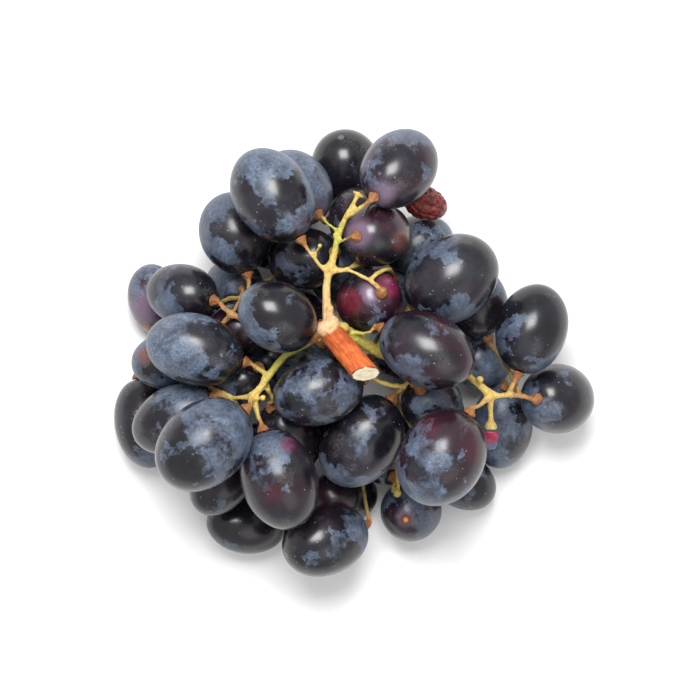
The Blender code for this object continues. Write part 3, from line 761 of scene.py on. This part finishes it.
@dataclass
class Grape:
    """One grape: a smooth egg with a dimple at the stalk, a blossom dot and its own bloom."""

    name: str
    seat: GrapeSeat
    look: GrapeLook
    seed: int
    segments: int = 72
    rings: int = 44
    dimple_reach: float = 2.6
    dimple_depth: float = 0.45
    lump: float = 0.14
    lump_span: float = 9.0
    pear: float = 0.03
    pattern_spread: float = 500.0
    seat_height: float = 0.02
    scar_radius: float = 1.45
    scar_core: float = 0.8
    scar_dimple: float = 0.15
    scar_depth: float = 0.6
    scar_sides: int = 28
    lean_pull: float = 0.55
    stain_drop: float = 1.0

    def build(self, skin: bpy.types.Material, bark: bpy.types.Material) -> bpy.types.Object:
        """Builds the grape and stores what its skin reads.

        Args:
            skin: The bloomed skin.
            bark: The bark, for a bare scar.

        Returns:
            The finished piece.
        """
        shape = bmesh.new()
        bmesh.ops.create_uvsphere(shape, u_segments=self.segments, v_segments=self.rings, radius=1.0)
        half = Vector((self.seat.width, self.seat.width, self.seat.length)) / 2
        draw = random.Random(self.seed)
        shift = Vector([draw.uniform(-self.pattern_spread, self.pattern_spread) for _ in range(3)])
        fatter = draw.uniform(-self.pear, self.pear)
        dimple = self.scar_dimple if self.look.scar else self.dimple_depth
        known = {}
        for vertex in shape.verts:
            unit = vertex.co.copy()
            place = Vector((unit.x * half.x, unit.y * half.y, unit.z * half.z)) / MM
            radial = math.hypot(place.x, place.y)
            swell = 1 + fatter * unit.z * (1 - unit.z**2)
            place.x *= swell
            place.y *= swell
            lumps = noise.noise((place + shift) / self.lump_span)
            place *= 1 + self.lump * lumps / place.length
            if unit.z > 0:
                dip = math.exp(-((radial / self.dimple_reach) ** 2))
                place.z -= dimple * dip
            known[vertex] = (place.copy(), radial, unit.z)
            vertex.co = place * MM
        turn = Matrix.Translation(self.seat.middle) @ turn_to(self.seat.axis)
        bmesh.ops.transform(shape, matrix=turn, verts=shape.verts)
        for vertex in shape.verts:
            vertex.co.z = max(vertex.co.z, self.seat_height * MM)
        if self.look.scar:
            self._add_scar(shape)
        rows = [known.get(vertex, (Vector(), 0.0, 0.0)) for vertex in shape.verts]
        finishes = (skin, bark) if self.look.scar else (skin,)
        made = finish_mesh(shape, self.name + "_skin", finishes)
        self._store(made.data, rows, shift)
        return made

    def _add_scar(self, shape: bmesh.types.BMesh) -> None:
        """Adds the disc left where the stalk broke off, with its core, in the second material.

        Args:
            shape: The grape's shape.
        """
        turn = turn_to(self.seat.axis)
        before = set(shape.faces)
        for radius, rise in ((self.scar_radius, -0.1), (self.scar_core, 0.02)):
            top = self.seat.stalk_end + self.seat.axis * (rise - self.scar_dimple) * MM
            bmesh.ops.create_cone(
                shape,
                cap_ends=True,
                segments=self.scar_sides,
                radius1=radius * 1.1 * MM,
                radius2=radius * 0.85 * MM,
                depth=self.scar_depth * MM,
                matrix=Matrix.Translation(top) @ turn,
            )
        for face in set(shape.faces) - before:
            face.material_index = 1

    def _store(
        self, mesh: bpy.types.Mesh, rows: Sequence[tuple[Vector, float, float]], shift: Vector
    ) -> None:
        """Stores the grape's own coordinates, tone and stains on its mesh.

        Args:
            mesh: The grape's mesh.
            rows: For each vertex its own place, its distance from the axis and its height, -1 to 1.
            shift: Where in the patterns this grape lies.
        """
        store(mesh, "grape_place", np.array([place + shift for place, _, _ in rows]))
        store(mesh, "grape_ends", np.array([(radial, height, 0.0) for _, radial, height in rows]))
        places = places_of(mesh) / MM
        apart = (places - np.array(self.seat.middle) / MM) / (self.seat.width / MM / 2)
        tone = np.tile(np.array((self.look.bloom, self.look.blue, self.look.red)), (len(rows), 1))
        tone[:, 0] += apart[:, :2] @ np.array(self.look.lean) * self.lean_pull
        store(mesh, "grape_tone", tone)
        self._store_stains(mesh, places)
        if self.look.scar:
            self._store_scar(mesh, places)

    def _store_stains(self, mesh: bpy.types.Mesh, places: np.ndarray) -> None:
        """Stores the stains, which show on the upper side only.

        Args:
            mesh: The grape's mesh.
            places: Its vertices in millimetres.
        """
        stains = np.zeros((len(places), 4))
        upward = places[:, 2] > self.seat.middle.z / MM - self.stain_drop
        for stain in self.look.stains:
            apart = np.hypot(places[:, 0] - stain.x, places[:, 1] - stain.y)
            strength = stain.strength * np.exp(-((apart / stain.size) ** 4)) * upward
            stronger = strength > stains[:, 3]
            stains[stronger, :3] = stain.colour
            stains[:, 3] = np.maximum(stains[:, 3], strength)
        store(mesh, "grape_stain", stains)

    def _store_scar(self, mesh: bpy.types.Mesh, places: np.ndarray) -> None:
        """Stores what the bark of the scar reads: a pale core in a dark ring.

        Args:
            mesh: The grape's mesh.
            places: Its vertices in millimetres.
        """
        away = places - np.array(self.seat.stalk_end) / MM
        core = np.linalg.norm(np.cross(away, np.array(self.seat.axis)), axis=1) < self.scar_core * 1.15
        tints = np.tile(np.array((*BarkTone.DARK_BROWN.value, 0.6)), (len(places), 1))
        tints[core] = (*BarkTone.PINK_BROWN.value, 0.3)
        store(mesh, "bark_tint", tints)
        store(mesh, "bark_grain", places)
        store(mesh, "bark_marks", np.zeros((len(places), 3)))


# ---------------------------------------------------------------- the stalk


class BarkTone(Enum):
    """The colours of the stalk's bark, and the dark tone of the painted shade on its lower parts."""

    STRAW = (0.6, 0.45, 0.13)
    CREAM = (0.68, 0.45, 0.21)
    GREEN = (0.48, 0.5, 0.09)
    OLIVE = (0.34, 0.29, 0.06)
    PINK_BROWN = (0.5, 0.24, 0.11)
    ORANGE = (0.62, 0.14, 0.03)
    RUST = (0.26, 0.05, 0.016)
    BROWN = (0.33, 0.12, 0.035)
    DARK_BROWN = (0.16, 0.055, 0.028)
    BLUSH = (0.82, 0.5, 0.36)
    PAINTED_SHADE = (0.2, 0.15, 0.045)
    # Painted shade: the dark tone that the low stalk is pulled towards. It is not a colour of the bark.
    PITH = (0.86, 0.8, 0.58)
    CORE = (0.8, 0.68, 0.42)


@dataclass(frozen=True)
class Zone:
    """A stretch of stalk with its own colour, warts from 0 to 1 and thinness, around a point."""

    x: float
    y: float
    z: float
    reach: float
    tone: BarkTone
    warts: float = 0.2
    slim: float = 0.0


@dataclass(frozen=True)
class Knot:
    """A small swelling on the stalk."""

    x: float
    y: float
    z: float
    radius: float


@dataclass
class Stalk:
    """The branching stalk: the frame's tubes made round, with receptacles, knots and a cut end.

    plan_shift is how far the frame's stalk stands from the plan in which zones, knots and the cut
    are placed.
    """

    voxel: float = 0.32
    smoothing: int = 3
    slim: float = 0.2
    coarse_span: float = 2.2
    coarse_push: float = 0.12
    fine_span: float = 0.8
    fine_push: float = 0.1
    fine_offset: float = 40.0
    wart_area: float = 6.0
    wart_fill: float = 0.7
    plain_share: float = 0.35
    zone_share: float = 3.0
    # Painted shade: below this height the bark is darkened over this span, by up to this share.
    painted_shade_top: float = 36.0
    painted_shade_span: float = 10.0
    painted_shade_share: float = 0.75
    plan_shift: tuple[float, float] = (0.2125, -0.4499)
    cut_root: tuple[float, float, float] = (-6.0, 5.2, 45.2)
    cut_tip: tuple[float, float, float] = (3.0, -5.6, 54.2)
    cut_radius: float = 3.6
    cut_normal: tuple[float, float, float] = (0.12, -0.84, 0.53)
    cut_reach: float = 4.0
    cut_margin: float = 1.0
    cut_firmness: float = 1.4
    cut_taper: float = 0.2
    cut_sides: int = 40
    wave_span: float = 1.6
    wave_height: float = 1.6
    face_depth: float = 0.55
    face_rag: float = 0.35
    ring_width: float = 0.45
    core_share: float = 0.45
    core_width: float = 0.35
    fibres_across: float = 1.6
    fibres_along: float = 0.18
    zones: tuple[Zone, ...] = (
        Zone(-6.9, 15.0, 43.2, 6.5, BarkTone.CREAM, 0.1, 0.1),
        Zone(-6.2, 24.0, 43.6, 5.0, BarkTone.STRAW, 0.2, 0.25),
        Zone(-4.4, 31.5, 45.3, 5.0, BarkTone.GREEN, 0.2, 0.35),
        Zone(-0.8, 39.0, 48.4, 5.0, BarkTone.STRAW, 0.4, 0.25),
        Zone(-8.0, 7.5, 45.0, 3.0, BarkTone.BLUSH, 0.1),
        Zone(-1.5, 5.8, 42.0, 4.0, BarkTone.GREEN, 0.1),
        Zone(5.0, 1.0, 37.0, 5.0, BarkTone.OLIVE, 0.4),
        Zone(12.0, -2.0, 33.5, 5.0, BarkTone.STRAW),
        Zone(36.4, -11.2, 35.0, 8.0, BarkTone.STRAW),
        Zone(44.0, -11.3, 31.0, 4.0, BarkTone.PINK_BROWN, 0.8),
        Zone(33.6, -14.0, 37.0, 3.0, BarkTone.PINK_BROWN, 0.8),
        Zone(-33.2, 10.5, 32.0, 5.0, BarkTone.PINK_BROWN, 0.7),
        Zone(-27.0, -11.0, 40.0, 7.0, BarkTone.STRAW, 0.3),
        Zone(-19.0, -1.0, 38.6, 6.0, BarkTone.GREEN, 0.2),
        Zone(-4.5, 2.0, 25.0, 14.0, BarkTone.OLIVE, 0.3),
    )
    knots: tuple[Knot, ...] = (
        Knot(-6.6, 12.0, 44.4, 1.35),
        Knot(-8.3, 6.6, 45.2, 2.5),
        Knot(-6.0, 8.2, 45.2, 2.3),
        Knot(-3.2, 6.6, 43.8, 2.2),
        Knot(0.9, 42.4, 49.6, 1.25),
        Knot(-0.3, 43.2, 49.2, 0.8),
        Knot(2.0, 41.8, 49.4, 0.8),
        Knot(-9.3, 28.8, 46.8, 1.15),
        Knot(-6.7, 23.1, 43.4, 1.9),
        Knot(-5.0, 31.6, 45.6, 1.5),
        Knot(-2.0, 22.6, 44.5, 1.1),
        Knot(33.6, -7.0, 36.6, 1.3),
        Knot(36.4, -11.2, 35.0, 1.8),
        Knot(41.9, -11.1, 33.8, 1.25),
        Knot(-27.3, -11.5, 40.0, 1.7),
        Knot(-24.0, -6.8, 39.6, 1.4),
        Knot(-24.6, -11.8, 42.4, 1.1),
        Knot(-30.4, 9.6, 33.6, 1.5),
        Knot(-33.2, 10.5, 32.2, 1.5),
        Knot(15.6, -8.6, 36.8, 1.0),
        Knot(11.5, -38.0, 22.0, 1.4),
    )
    receptacle_length: float = 1.9
    receptacle_width: float = 1.85
    receptacle_sink: float = 0.3
    receptacle_sides: int = 20
    disc_height: float = 0.6
    disc_reach: float = 2.5
    disc_growth: float = 1.15
    cup_flare: tuple[float, float] = (0.86, 0.5)
    lip_height: float = 0.1
    lip_depth: float = 0.75
    lip_flare: tuple[float, float] = (1.04, 0.98)

    def build(
        self, node: bpy.types.Object, seats: Sequence[GrapeSeat], bark: bpy.types.Material
    ) -> bpy.types.Object:
        """Grows the stalk.

        Args:
            node: The frame's stalk.
            seats: The grapes that it carries.
            bark: Its material.

        Returns:
            The finished piece.
        """
        shape = bmesh.new()
        shape.from_mesh(node.data)
        bmesh.ops.remove_doubles(shape, verts=shape.verts, dist=1e-7)
        bark_places = places_of(node.data)
        for seat in seats:
            self._add_receptacle(shape, seat, bark_places)
        for knot in self.knots:
            place = self._shifted((knot.x, knot.y, knot.z)) * MM
            matrix = Matrix.Translation(place)
            bmesh.ops.create_icosphere(shape, subdivisions=2, radius=knot.radius * MM, matrix=matrix)
        self._add_cut_end(shape)
        self._slant_cut(shape)
        shape = self._grow_together(shape)
        for _ in range(self.smoothing):
            soften(shape)
        self._roughen(shape, seats)
        made = finish_mesh(shape, "stem_bark", (bark,))
        self._store(made.data, seats)
        return made

    def _grow_together(self, shape: bmesh.types.BMesh) -> bmesh.types.BMesh:
        """Joins overlapping pieces into one skin with a voxel remesh.

        Args:
            shape: The overlapping pieces, which are freed.

        Returns:
            The joined shape.
        """
        rough = finish_mesh(shape, "stem_rough", ())
        remesh = rough.modifiers.new("grow_together", "REMESH")
        remesh.mode = "VOXEL"
        remesh.voxel_size = self.voxel * MM
        graph = bpy.context.evaluated_depsgraph_get()
        grown = bpy.data.meshes.new_from_object(rough.evaluated_get(graph))
        bpy.data.objects.remove(rough, do_unlink=True)
        joined = bmesh.new()
        joined.from_mesh(grown)
        bpy.data.meshes.remove(grown)
        return joined

    def _shifted(self, point: Sequence[float]) -> Vector:
        """Moves a point of the stalk's plan to where the frame has it.

        Args:
            point: The point.

        Returns:
            The moved point.
        """
        return Vector((point[0] + self.plan_shift[0], point[1] + self.plan_shift[1], point[2]))

    def _cut_line(self) -> tuple[Vector, Vector, Vector]:
        """Finds the line of the cut stretch.

        Returns:
            Its root, its tip and its direction.
        """
        root = self._shifted(self.cut_root)
        tip = self._shifted(self.cut_tip)
        return root, tip, (tip - root).normalized()

    def _add_receptacle(self, shape: bmesh.types.BMesh, seat: GrapeSeat, bark: np.ndarray) -> None:
        """Adds a round flared cup and its lip where the frame's stalk holds a grape.

        Args:
            shape: The stalk so far.
            seat: The grape that is held.
            bark: The vertices of the frame's stalk in metres.
        """
        apart = (bark - np.array(seat.stalk_end)) / MM
        along = apart @ np.array(seat.axis)
        across = np.linalg.norm(apart - np.outer(along, np.array(seat.axis)), axis=1)
        disc = across[(along > 0.0) & (along < self.disc_height) & (across < self.disc_reach)]
        if len(disc) == 0:
            return
        radius = min(self.receptacle_width, max(disc) * self.disc_growth)
        cup_height = self.receptacle_length / 2 - self.receptacle_sink
        for height, flare, depth in (
            (cup_height, self.cup_flare, self.receptacle_length),
            (self.lip_height, self.lip_flare, self.lip_depth),
        ):
            centre = seat.stalk_end + seat.axis * height * MM
            bmesh.ops.create_cone(
                shape,
                cap_ends=True,
                segments=self.receptacle_sides,
                radius1=radius * flare[0] * MM,
                radius2=radius * flare[1] * MM,
                depth=depth * MM,
                matrix=Matrix.Translation(centre) @ turn_to(seat.axis),
            )

    def _add_cut_end(self, shape: bmesh.types.BMesh) -> None:
        """Adds the round cut stretch of the main stalk.

        Args:
            shape: The stalk so far.
        """
        root, tip, axis = self._cut_line()
        bmesh.ops.create_cone(
            shape,
            cap_ends=True,
            segments=self.cut_sides,
            radius1=(self.cut_radius - self.cut_taper) * MM,
            radius2=self.cut_radius * MM,
            depth=(tip - root).length * MM,
            matrix=Matrix.Translation((root + tip) / 2 * MM) @ turn_to(axis),
        )

    def _slant_cut(self, shape: bmesh.types.BMesh) -> None:
        """Slides the end of the cut stretch along itself until its face has the slant of the cut.

        Args:
            shape: The stalk with its cut stretch.
        """
        _, tip, axis = self._cut_line()
        normal = Vector(self.cut_normal).normalized()
        for vertex in shape.verts:
            apart = vertex.co / MM - tip
            along = apart.dot(axis)
            flat = apart - axis * along
            if abs(along) > self.cut_reach or flat.length > self.cut_radius + self.cut_margin:
                continue
            slide = -flat.dot(normal) / axis.dot(normal)
            share = min(1.0, (self.cut_reach - abs(along)) / self.cut_reach * self.cut_firmness)
            vertex.co += axis * slide * share * MM

    def _roughen(self, shape: bmesh.types.BMesh, seats: Sequence[GrapeSeat]) -> None:
        """Thins the tubes and pushes the bark in and out, most of all near the grapes.

        Args:
            shape: The joined stalk.
            seats: The grapes that it carries.
        """
        shape.normal_update()
        ends = [seat.stalk_end for seat in seats]
        shares = self._zone_shares(np.array([vertex.co for vertex in shape.verts]) / MM)
        slims = self.slim + shares @ np.array([0.0] + [zone.slim for zone in self.zones])
        for vertex, slim in zip(shape.verts, slims):
            place = vertex.co / MM
            coarse = noise.noise(place / self.coarse_span)
            fine = noise.noise(place / self.fine_span + Vector((self.fine_offset, 0.0, 0.0)))
            reach = min((vertex.co - end).length_squared for end in ends) / MM**2
            warty = math.exp(-reach / self.wart_area)
            push = self.coarse_push * (1 + warty) * coarse + self.fine_push * (1 + 2 * warty) * fine
            push -= slim * (1 - self.wart_fill * warty)
            vertex.co += vertex.normal * push * MM

    def _zone_shares(self, places: np.ndarray) -> np.ndarray:
        """How far each zone holds at each place.

        Args:
            places: Places in millimetres.

        Returns:
            One row for each place: the plain bark's share, then one for each zone, 1 in all.
        """
        columns = [np.full(len(places), self.plain_share)]
        for zone in self.zones:
            middle = np.array(self._shifted((zone.x, zone.y, zone.z)))
            apart = np.linalg.norm(places - middle, axis=1)
            columns.append(self.zone_share * np.exp(-((apart / zone.reach) ** 2)))
        shares = np.array(columns).T
        return shares / shares.sum(axis=1)[:, None]

    def _store(self, mesh: bpy.types.Mesh, seats: Sequence[GrapeSeat]) -> None:
        """Stores the bark's colour, with painted shade darkening its lower parts, and its grain and marks
        on the mesh.

        Args:
            mesh: The stalk's mesh.
            seats: The grapes that it carries.
        """
        places = places_of(mesh) / MM
        tones = [(*BarkTone.STRAW.value, 0.3)] + [(*zone.tone.value, zone.warts) for zone in self.zones]
        tint = self._zone_shares(places) @ np.array(tones)
        # Painted shade: the lower the bark runs down into the heap, the darker it is painted.
        depth = np.clip((self.painted_shade_top - places[:, 2]) / self.painted_shade_span, 0, 1)[:, None]
        tint += depth * self.painted_shade_share * (np.array((*BarkTone.PAINTED_SHADE.value, 0.5)) - tint)
        self._colour_receptacles(places, tint, seats)
        grain = places.copy()
        marks = np.zeros((len(places), 3))
        self._colour_cut_end(places, tint, grain, marks)
        store(mesh, "bark_tint", tint)
        store(mesh, "bark_grain", grain)
        store(mesh, "bark_marks", marks)

    @staticmethod
    def _colour_receptacles(places: np.ndarray, tint: np.ndarray, seats: Sequence[GrapeSeat]) -> None:
        """Browns the bark round each receptacle, unevenly.

        Args:
            places: The stalk's vertices.
            tint: Their colour and warts, changed in place.
            seats: The grapes that the stalk carries.
        """
        uneven = waves(places, 0.85)
        for seat in seats:
            apart = np.linalg.norm(places - np.array(seat.stalk_end) / MM, axis=1)
            for reach, tone, gain in (
                (3.6, BarkTone.PINK_BROWN, 0.4),
                (3.0, BarkTone.BROWN, 1.6),
                (2.1, BarkTone.DARK_BROWN, -1.2),
            ):
                hold = np.clip(0.7 + uneven * gain, 0.0, 1.0)
                share = (np.exp(-((apart / reach) ** 4)) * hold)[:, None]
                tint += share * (np.array((*tone.value, 0.8)) - tint)

    def _colour_cut_end(
        self, places: np.ndarray, tint: np.ndarray, grain: np.ndarray, marks: np.ndarray
    ) -> None:
        """Colours the orange cut stretch, its pale face and the brown ring round it.

        Args:
            places: The stalk's vertices.
            tint: Their colour and warts, changed in place.
            grain: Where each reads the fibres, changed in place.
            marks: How streaky and how calm each is, changed in place.
        """
        root, tip, axis = (np.array(part) for part in self._cut_line())
        length = np.linalg.norm(tip - root)
        apart = places - tip
        along = apart @ axis
        across = apart - along[:, None] * axis
        radial = np.linalg.norm(across, axis=1)
        inside = (radial < self.cut_radius + 0.8) & (along > -length - 0.5)
        wave = waves(places, self.wave_span) * self.wave_height
        share = np.clip((along + length - 0.4 + wave) / 1.2, 0, 1) * inside
        orange = np.array((*BarkTone.ORANGE.value, 0.0))
        rust = np.array((*BarkTone.RUST.value, 0.0))
        rusty = np.clip(0.55 + wave * 0.4 - (along + length) / length * 0.8, 0, 0.6)[:, None]
        tint += share[:, None] * (orange + rusty * (rust - orange) - tint)
        grain[inside] = across[inside] * self.fibres_across
        grain[inside] += np.outer(along[inside], axis) * self.fibres_along
        marks[:, 0] = share
        normal = np.array(Vector(self.cut_normal).normalized())
        past_face = (apart[inside] @ normal) / (axis @ normal) + self.face_depth
        ragged = waves(places[inside], 0.9) * self.face_rag
        face = past_face > ragged
        rows = np.flatnonzero(inside)[face]
        ragged = ragged[face]
        ring = radial[rows] > self.cut_radius - self.ring_width + ragged
        core = np.abs(radial[rows] - self.cut_radius * self.core_share) < self.core_width + ragged
        marks[rows, :2] = (0.0, 1.0)
        tint[rows] = (*BarkTone.PITH.value, 0.0)
        tint[rows[core]] = (*BarkTone.CORE.value, 0.0)
        tint[rows[ring]] = (*BarkTone.RUST.value, 0.3)


# ---------------------------------------------------------------- the odd pieces


@dataclass
class Raisin:
    """The one grape that has shrivelled.

    Folds and ridges are shares of its size, and scales are lumps per half width.
    """

    folds: int = 7
    fold_depth: float = 0.13
    twist: float = 0.6
    coarse_ridge: float = 0.144
    fine_ridge: float = 0.063
    twist_scale: float = 1.3
    coarse_scale: float = 2.6
    fine_scale: float = 6.0
    fold_lean: float = 0.8
    swell: float = 1.06

    def build(self, seat: GrapeSeat, finish: bpy.types.Material) -> bpy.types.Object:
        """Builds the raisin.

        Args:
            seat: Where it hangs.
            finish: Its dried skin.

        Returns:
            The finished piece.
        """
        shape = bmesh.new()
        bmesh.ops.create_icosphere(shape, subdivisions=6, radius=1.0)
        half = Vector((seat.width, seat.width, seat.length)) / 2 * self.swell
        for vertex in shape.verts:
            unit = vertex.co.copy()
            turn = math.atan2(unit.y, unit.x) + self.twist * noise.noise(unit * self.twist_scale)
            fold = abs(math.sin(self.folds / 2 * turn + self.fold_lean * unit.z))
            depth = self.fold_depth * (1 - fold) ** 2 * (1 - unit.z**2)
            coarse = self.coarse_ridge * abs(noise.noise(unit * self.coarse_scale))
            fine = self.fine_ridge * abs(noise.noise(unit * self.fine_scale))
            reach = 1 - depth - coarse - fine
            vertex.co = Vector((unit.x * half.x, unit.y * half.y, unit.z * half.z)) * reach
        place = Matrix.Translation(seat.middle) @ turn_to(seat.axis)
        bmesh.ops.transform(shape, matrix=place, verts=shape.verts)
        return finish_mesh(shape, "raisin_skin", (finish,))


@dataclass
class TornSkin:
    """The scrap of skin that hangs from a bare receptacle."""

    cuts: int = 3
    crumple: float = 0.35
    crumple_span: float = 1.4
    fade_from: float = 0.42
    fade_width: float = 0.35

    def build(self, node: bpy.types.Object, finish: bpy.types.Material) -> bpy.types.Object:
        """Builds the scrap from the frame's solid.

        Args:
            node: The frame's scrap.
            finish: Its torn skin.

        Returns:
            The finished piece.
        """
        shape = bmesh.new()
        shape.from_mesh(node.data)
        bmesh.ops.remove_doubles(shape, verts=shape.verts, dist=1e-7)
        bmesh.ops.subdivide_edges(shape, edges=shape.edges[:], cuts=self.cuts, use_grid_fill=True)
        soften(shape)
        shape.normal_update()
        for vertex in shape.verts:
            wave = noise.noise(vertex.co / (self.crumple_span * MM))
            vertex.co += vertex.normal * wave * self.crumple * MM
        made = finish_mesh(shape, "torn_skin_scrap", (finish,))
        self._store_fade(made.data)
        return made

    def _store_fade(self, mesh: bpy.types.Mesh) -> None:
        """Stores how far the scrap has faded to lilac, from 0 at the stalk to 1 at its loose end.

        Args:
            mesh: The scrap's mesh.
        """
        places = places_of(mesh)
        far = places[:, 1].max()
        share = (far - places[:, 1]) / (far - places[:, 1].min())
        fade = np.zeros((len(places), 3))
        fade[:, 0] = np.clip((share - self.fade_from) / self.fade_width, 0, 1)
        store(mesh, "skin_fade", fade)


# ---------------------------------------------------------------- studio


@dataclass(frozen=True)
class Softbox:
    """A square soft light that faces the bunch, with its place and side in metres."""

    name: str
    place: Place
    side: float
    watts: float

    def build(self) -> None:
        """Builds the light."""
        lamp = bpy.data.lights.new(self.name, "AREA")
        lamp.shape = "SQUARE"
        lamp.size = self.side
        lamp.energy = self.watts
        made = bpy.data.objects.new(self.name, lamp)
        made.location = self.place
        made.rotation_euler = (-Vector(self.place)).to_track_quat("-Z", "Y").to_euler()
        bpy.context.scene.collection.objects.link(made)


@dataclass
class Studio:
    """The pale floor, the soft lights and the camera above.

    floor_side and camera_height are in metres.
    """

    floor_side: float = 3.0
    view_width: float = 189.0
    aim: Place = (-1.1, 0.5, 30.0)
    camera_height: float = 1.5
    sensor: float = 36.0
    room_light: float = 0.75
    softboxes: tuple[Softbox, ...] = (
        Softbox("key", (-0.05, 0.42, 1.0), 0.5, 15.0),
        Softbox("fill", (0.5, -0.7, 0.9), 0.8, 2.0),
    )

    def build_floor(self) -> None:
        """Builds the floor at Z = 0."""
        shape = bmesh.new()
        bmesh.ops.create_grid(shape, x_segments=2, y_segments=2, size=self.floor_side / 2)
        finish_mesh(shape, "pale_floor", (PaleGround().make(),))

    def build_camera(self) -> None:
        """Looks straight down on the bunch from far above."""
        lens = bpy.data.cameras.new("overhead")
        lens.sensor_width = self.sensor
        lens.lens = self.sensor * self.camera_height / (self.view_width * MM)
        lens.clip_end = 20.0
        camera = bpy.data.objects.new("overhead", lens)
        camera.location = Vector(self.aim) * MM + Vector((0.0, 0.0, self.camera_height))
        bpy.context.scene.collection.objects.link(camera)
        bpy.context.scene.camera = camera

    def build_light(self) -> None:
        """Sets the soft daylight and the soft boxes."""
        world = bpy.data.worlds.new("white_room")
        world.use_nodes = True
        sky = world.node_tree.nodes["Background"].inputs
        sky["Color"].default_value = (1.0, 1.0, 1.0, 1.0)
        sky["Strength"].default_value = self.room_light
        bpy.context.scene.world = world
        bpy.context.scene.view_settings.view_transform = "Standard"
        for softbox in self.softboxes:
            softbox.build()


# ---------------------------------------------------------------- the bunch


@dataclass
class Bunch:
    """The whole bunch of grapes. A grape without a look of its own has hidden_look."""

    nodes: dict[str, bpy.types.Object]
    slots: dict[str, str]
    loose: str = "tip_berry_6"
    hidden_look: GrapeLook = GrapeLook(0.45, 0.45, 0.25)

    def build(self) -> None:
        """Builds every piece and puts it on the frame."""
        skin = BloomedSkin().make()
        bark = BarkSkin().make()
        # Both dried skins carry painted shade in their fold hollows and painted light on their raised folds
        # and ridges.
        dried = DriedSkin(
            "dried_skin", fold_hollow_shade=(0.075, 0.008, 0.009), raised_fold_light=(0.29, 0.035, 0.025), ridge=(0.36, 0.15, 0.1)
        ).make()
        torn = DriedSkin(
            "torn_red_skin",
            fold_hollow_shade=(0.2, 0.008, 0.03),
            raised_fold_light=(0.34, 0.03, 0.09),
            ridge=(0.3, 0.18, 0.26),
            faded=(0.1, 0.105, 0.17),
        ).make()
        stem = self.nodes["stem"]
        stem_places = places_of(stem.data)
        names = sorted(name for name in self.nodes if "berry" in name or name == "raisin")
        held = []
        for number, name in enumerate(names):
            seat = GrapeSeat.read(self.nodes[name], stem_places, name == self.loose)
            if name != self.loose:
                held.append(seat)
            if name == "raisin":
                piece = Raisin().build(seat, dried)
            else:
                look = LOOKS.get(name, self.hidden_look)
                piece = Grape(name, seat, look, number).build(skin, bark)
            self.put(piece, name)
            log.info("%s %.1f x %.1f mm", name, seat.length / MM, seat.width / MM)
        self.put(Stalk().build(stem, held, bark), "stem")
        self.put(TornSkin().build(self.nodes["torn_skin"], torn), "torn_skin")

    def put(self, piece: bpy.types.Object, name: str) -> None:
        """Makes a piece stand for a node of the frame.

        Args:
            piece: The finished piece.
            name: The node that it stands for.
        """
        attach(piece, "root")
        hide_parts(name)


def main() -> None:
    """Builds the studio and the bunch, and logs the length and width of each grape."""
    logging.basicConfig(level=logging.INFO, format="%(message)s")
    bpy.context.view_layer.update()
    slots = {part["node"]: part["material_slot"] for part in frame["record"]["subparts"]}
    Bunch(frame["nodes"], slots).build()
    studio = Studio()
    studio.build_floor()
    studio.build_light()
    studio.build_camera()


if __name__ == "__main__":
    main()
